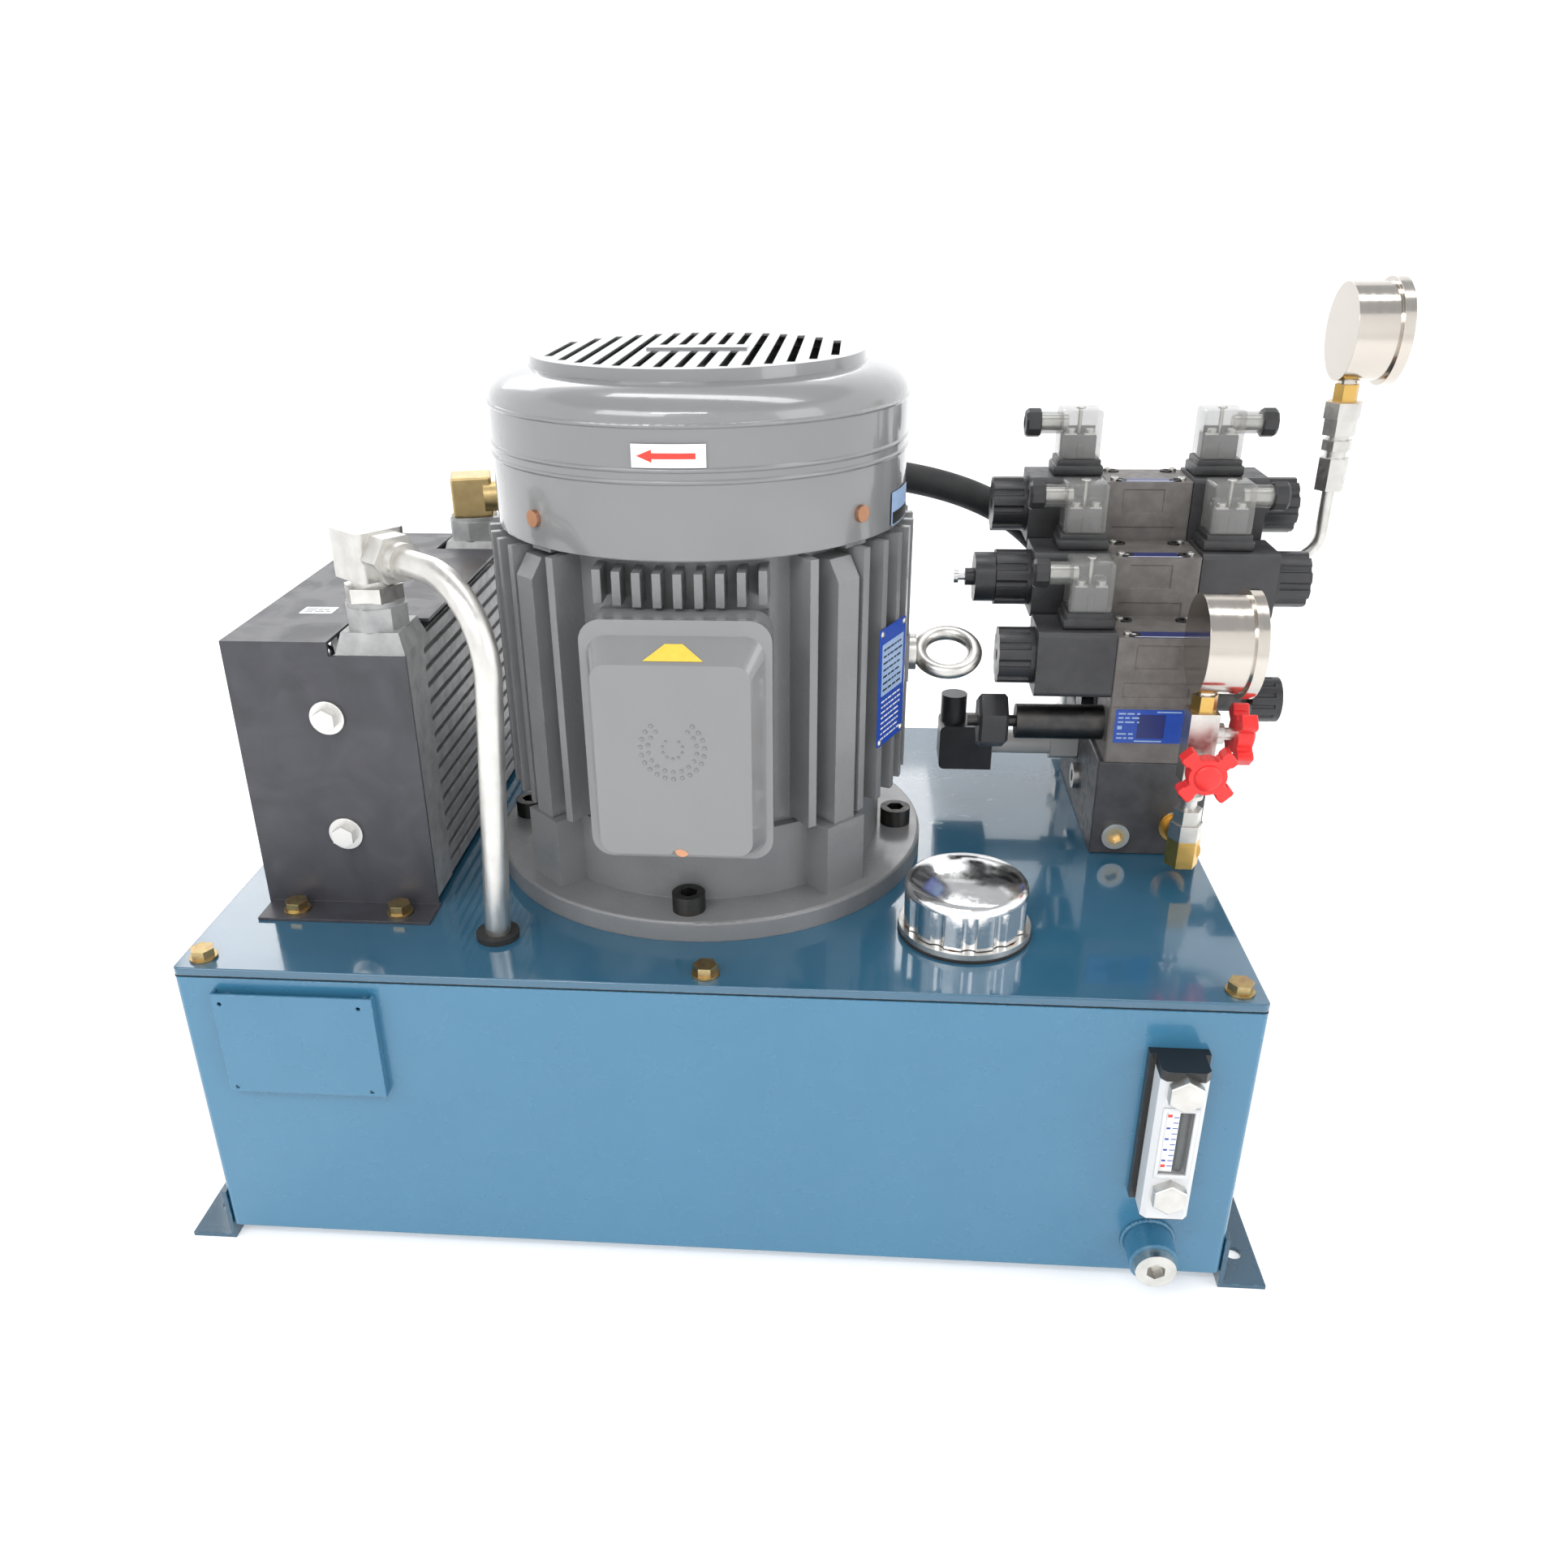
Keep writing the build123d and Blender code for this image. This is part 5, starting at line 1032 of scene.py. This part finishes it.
cowl_patch("side_label_band", "print_black", (-22.4, -8.6), (457.8 * MM, 465 * MM), wall + 0.3 * MM)


# ---------------------------------------------------------------- motor rating plate
def add_rating_plate():
    """Blue and white plate standing on the fins, with rows of small print."""
    angle = math.radians(-25)
    out = Vector((math.cos(angle), math.sin(angle), 0))
    across = Vector((-math.sin(angle), math.cos(angle), 0))
    place = Vector((motor.x, motor.y, 0.359)) + out * (136.9 * MM)
    plate_size = (39 * MM, 78 * MM)
    patch("rating_plate", "print_blue", place, across, out, plate_size, 0.8 * MM, 2 * MM)
    face = place + out * (0.8 * MM)
    field = face + Vector((0, 0, 12 * MM))
    patch("rating_plate_field", "print_pale", field, across, out, (32 * MM, 34 * MM), 0.15 * MM, 0.6 * MM)
    rects = text_lines(7, 28 * MM, 4.4 * MM, 25 * MM, -14 * MM, 1.2 * MM)
    bars("rating_plate_print", "print_black", face + out * (0.15 * MM), across, out, rects)
    rects = text_lines(8, 30 * MM, 3.6 * MM, -9 * MM, -15 * MM, 1.0 * MM)
    bars("rating_plate_lines", "white", face, across, out, rects)
    rivets = Shape()
    for u in (-16.5, 16.5):
        for v in (-36, 36):
            spot = face + across * (u * MM) + Vector((0, 0, v * MM))
            rivets.lathe([(0, 1.3 * MM), (1.2 * MM, 1.0 * MM), (2.1 * MM, 0), (0, -0.4 * MM)], spot, out, 20)
    rivets.finish("rating_plate_rivets", "zinc")


add_rating_plate()


# ---------------------------------------------------------------- terminal box lid
lid_x = (lid_low.x + lid_high.x) / 2
lid_front = lid_low.y
ring = Shape()
for count, reach, size in ((19, 18.6, 1.5), (15, 14.2, 1.3), (9, 6.0, 1.0)):
    for step in range(count):
        angle = math.radians(-230 + 280 * step / (count - 1))
        spot = (
            lid_x - 2 * MM + reach * MM * math.cos(angle),
            lid_front,
            354 * MM + reach * MM * math.sin(angle),
        )
        ring.lathe(
            [(0, 0.9 * MM), (size * 0.6 * MM, 0.7 * MM), (size * MM, -0.2 * MM), (0, -0.2 * MM)],
            spot,
            (0, -1, 0),
            12,
        )
ring.finish("lid_dot_ring", "motor_sheet")
triangle = Shape()
slope = Vector((0, -0.747, 0.665))
triangle.outline(
    [(-17 * MM, -5.4 * MM), (17 * MM, -5.4 * MM), (5 * MM, 5.0 * MM), (-5 * MM, 5.0 * MM)],
    (lid_x, -0.1649, 0.4105),
    (1, 0, 0),
    slope,
    0.4 * MM,
)
triangle.finish("lid_yellow_patch", "print_yellow")


# ---------------------------------------------------------------- level gauge
def add_level_gauge():
    """Silver cover with its slot, scale card, red mark and oil tube."""
    x = (gauge_low.x + gauge_high.x) / 2
    front = -231 * MM
    cover = Shape()
    frame_low, frame_high = 109 * MM, 161 * MM
    for side in (-1, 1):
        inner, outer = 8.1 * MM, 10.4 * MM
        low_x, high_x = sorted((x + side * inner, x + side * outer))
        cover.box((low_x, front - 0.8 * MM, frame_low), (high_x, front - 0.05 * MM, frame_high), 0.3 * MM)
    for low, high in ((109, 112), (158, 161)):
        near = (x - 8.6 * MM, front - 0.8 * MM, low * MM)
        far = (x + 8.6 * MM, front - 0.05 * MM, high * MM)
        cover.box(near, far, 0.3 * MM)
    cover.finish("level_gauge_window_lip", "silver_lacquer")

    card = Shape()
    card.box((x - 7.6 * MM, -229.5 * MM, 112.6 * MM), (x + 0.2 * MM, -228.9 * MM, 157.4 * MM), 0.2 * MM)
    card.finish("level_gauge_card", "white")
    bars(
        "level_gauge_marks",
        "print_blue",
        (x, -229.5 * MM, 0),
        (1, 0, 0),
        (0, -1, 0),
        [(-1.6 * MM, z * MM, 3.0 * MM, 0.6 * MM) for z in range(117, 156, 4)]
        + [(-5.4 * MM, z * MM, 2.2 * MM, 1.3 * MM) for z in range(121, 153, 8)],
    )
    bars(
        "level_gauge_limits",
        "print_red",
        (x, -229.5 * MM, 0),
        (1, 0, 0),
        (0, -1, 0),
        [(-5.4 * MM, 154 * MM, 2.6 * MM, 2.0 * MM), (-5.4 * MM, 117 * MM, 2.6 * MM, 2.0 * MM)],
    )
    tube = Shape()
    tube.rod(3.0 * MM, (x + 4.0 * MM, -225.6 * MM, 112.4 * MM), (0, 0, 1), 45.2 * MM, 24)
    tube.finish("level_gauge_tube", "black_gloss")


add_level_gauge()


# ---------------------------------------------------------------- valves and manifold labels
def add_valve_labels():
    """Blue type labels and small screws on the valves and the front sandwich plate."""
    x = (body_low.x + body_high.x) / 2
    front = spools[0].y - valve_half
    head_profile = [
        (0, 1.0 * MM),
        (1.3 * MM, 1.0 * MM),
        (1.3 * MM, 2.4 * MM),
        (2.5 * MM, 2.4 * MM),
        (2.8 * MM, 2.0 * MM),
        (2.8 * MM, -0.5 * MM),
        (0, -0.5 * MM),
    ]
    patch(
        "module_label",
        "print_blue",
        (283 * MM, front, 314.5 * MM),
        (1, 0, 0),
        (0, -1, 0),
        (46 * MM, 24 * MM),
        0.25 * MM,
        1 * MM,
    )
    bars(
        "module_label_blocks",
        "print_pale",
        (283 * MM, front - 0.25 * MM, 314.5 * MM),
        (1, 0, 0),
        (0, -1, 0),
        text_lines(3, 14 * MM, 3.0 * MM, 9 * MM, -21 * MM, 1.1 * MM)
        + text_lines(2, 12 * MM, 3.0 * MM, -5.5 * MM, -21 * MM, 1.1 * MM)
        + [
            (0, -10.6 * MM, 18 * MM, 0.9 * MM),
            (12 * MM, 10.4 * MM, 16 * MM, 0.9 * MM),
            (-19.5 * MM, -1 * MM, 3 * MM, 2.4 * MM),
        ],
    )
    patch(
        "module_label_block",
        "print_navy",
        (284 * MM, front - 0.25 * MM, 314.5 * MM),
        (1, 0, 0),
        (0, -1, 0),
        (18 * MM, 17 * MM),
        0.1 * MM,
        0.4 * MM,
    )
    for index, spool in enumerate(spools):
        top = spool.z + 20 * MM
        patch(
            f"valve_label_{index}",
            "print_navy",
            (x - 1 * MM, spool.y - 15.5 * MM, top),
            (1, 0, 0),
            (0, 0, 1),
            (38 * MM, 12 * MM),
            0.25 * MM,
            0.8 * MM,
        )
        bars(
            f"valve_label_marks_{index}",
            "white",
            (x - 1 * MM, spool.y - 15.5 * MM, top + 0.25 * MM),
            (1, 0, 0),
            (0, 0, 1),
            [
                (-17.5 * MM, 0, 2.6 * MM, 8 * MM),
                (17.5 * MM, 0, 2.6 * MM, 8 * MM),
                (0, -5 * MM, 36 * MM, 0.8 * MM),
            ],
        )
        screws = Shape()
        for side in (-1, 1):
            for across in (-16, 16):
                spot = (x + side * 23 * MM, spool.y + across * MM, top)
                screws.lathe(head_profile, spot, (0, 0, 1), 24)
        screws.finish(f"valve_cover_screws_{index}", "zinc")


add_valve_labels()
patch("cooler_label", "white", (-262 * MM, -60 * MM, shroud_high.z), (1, 0, 0), (0, 0, 1), (22 * MM, 14 * MM))
bars(
    "cooler_label_print",
    "print_black",
    (-262 * MM, -60 * MM, shroud_high.z + 0.25 * MM),
    (1, 0, 0),
    (0, 0, 1),
    text_lines(3, 17 * MM, 3 * MM, 3 * MM, -8.5 * MM, 0.8 * MM),
)


# ---------------------------------------------------------------- sheet-metal seams and welds
def add_weld(name, points, radius, material="tank"):
    """Rippled fillet bead along a line of points."""
    shape = Shape()
    profile_steps = 8
    rings = []
    for start, end in zip(points, points[1:]):
        start, end = Vector(start), Vector(end)
        length = (end - start).length
        count = max(2, int(length / (1.6 * MM)))
        along = (end - start).normalized()
        side = along.orthogonal().normalized()
        other = along.cross(side)
        for i in range(count + 1):
            swell = 1 + 0.13 * math.sin(i * 2.1) + random.uniform(-0.04, 0.04)
            place = start + along * (length * i / count)
            ring_verts = []
            for k in range(profile_steps):
                angle = 2 * math.pi * k / profile_steps
                around = side * math.cos(angle) + other * math.sin(angle)
                ring_verts.append(shape.bm.verts.new(place + around * radius * swell))
            rings.append(ring_verts)
    for lower, upper in zip(rings, rings[1:]):
        for k in range(profile_steps):
            following = (k + 1) % profile_steps
            shape.bm.faces.new((lower[k], lower[following], upper[following], upper[k]))
    shape.bm.faces.new(list(reversed(rings[0])))
    shape.bm.faces.new(rings[-1])
    return shape.finish(name, material, sharp=60)


def add_ring_weld(name, centre_place, radius, bead):
    """Weld bead round a boss whose axis runs along Y."""
    points = []
    for step in range(41):
        angle = 2 * math.pi * step / 40
        points.append(
            (
                centre_place[0] + radius * math.cos(angle),
                centre_place[1],
                centre_place[2] + radius * math.sin(angle),
            )
        )
    add_weld(name, points, bead)


add_ring_weld("drain_boss_weld", (0.279, -0.2078, 0.038), 0.0158, 1.5 * MM)
for side, tag in ((-1, "left"), (1, "right")):
    add_weld(
        f"foot_weld_{tag}",
        [(side * 0.3288, -0.200, 0.0405), (side * 0.3288, 0.200, 0.0405)],
        1.3 * MM,
    )


def add_hub(name, body, origin, axis):
    """Moulded cap over the middle of a handwheel."""
    profile = [
        (8.6 * MM, -0.4 * MM),
        (8.6 * MM, 0.8 * MM),
        (7.8 * MM, 1.6 * MM),
        (5.0 * MM, 2.4 * MM),
        (0, 2.7 * MM),
    ]
    cap = Shape()
    cap.lathe(profile, origin, axis, 40)
    cap.finish(name, "red", body)


wheel_low, wheel_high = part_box("handwheel_front")
wheel_middle = (wheel_low + wheel_high) / 2
add_hub("handwheel_front_cap", "handwheel_front", (wheel_middle.x, wheel_low.y, wheel_middle.z), (0, -1, 0))
wheel_low, wheel_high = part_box("handwheel_side")
wheel_middle = (wheel_low + wheel_high) / 2
add_hub("handwheel_side_cap", "handwheel_side", (wheel_high.x, wheel_middle.y, wheel_middle.z), (1, 0, 0))
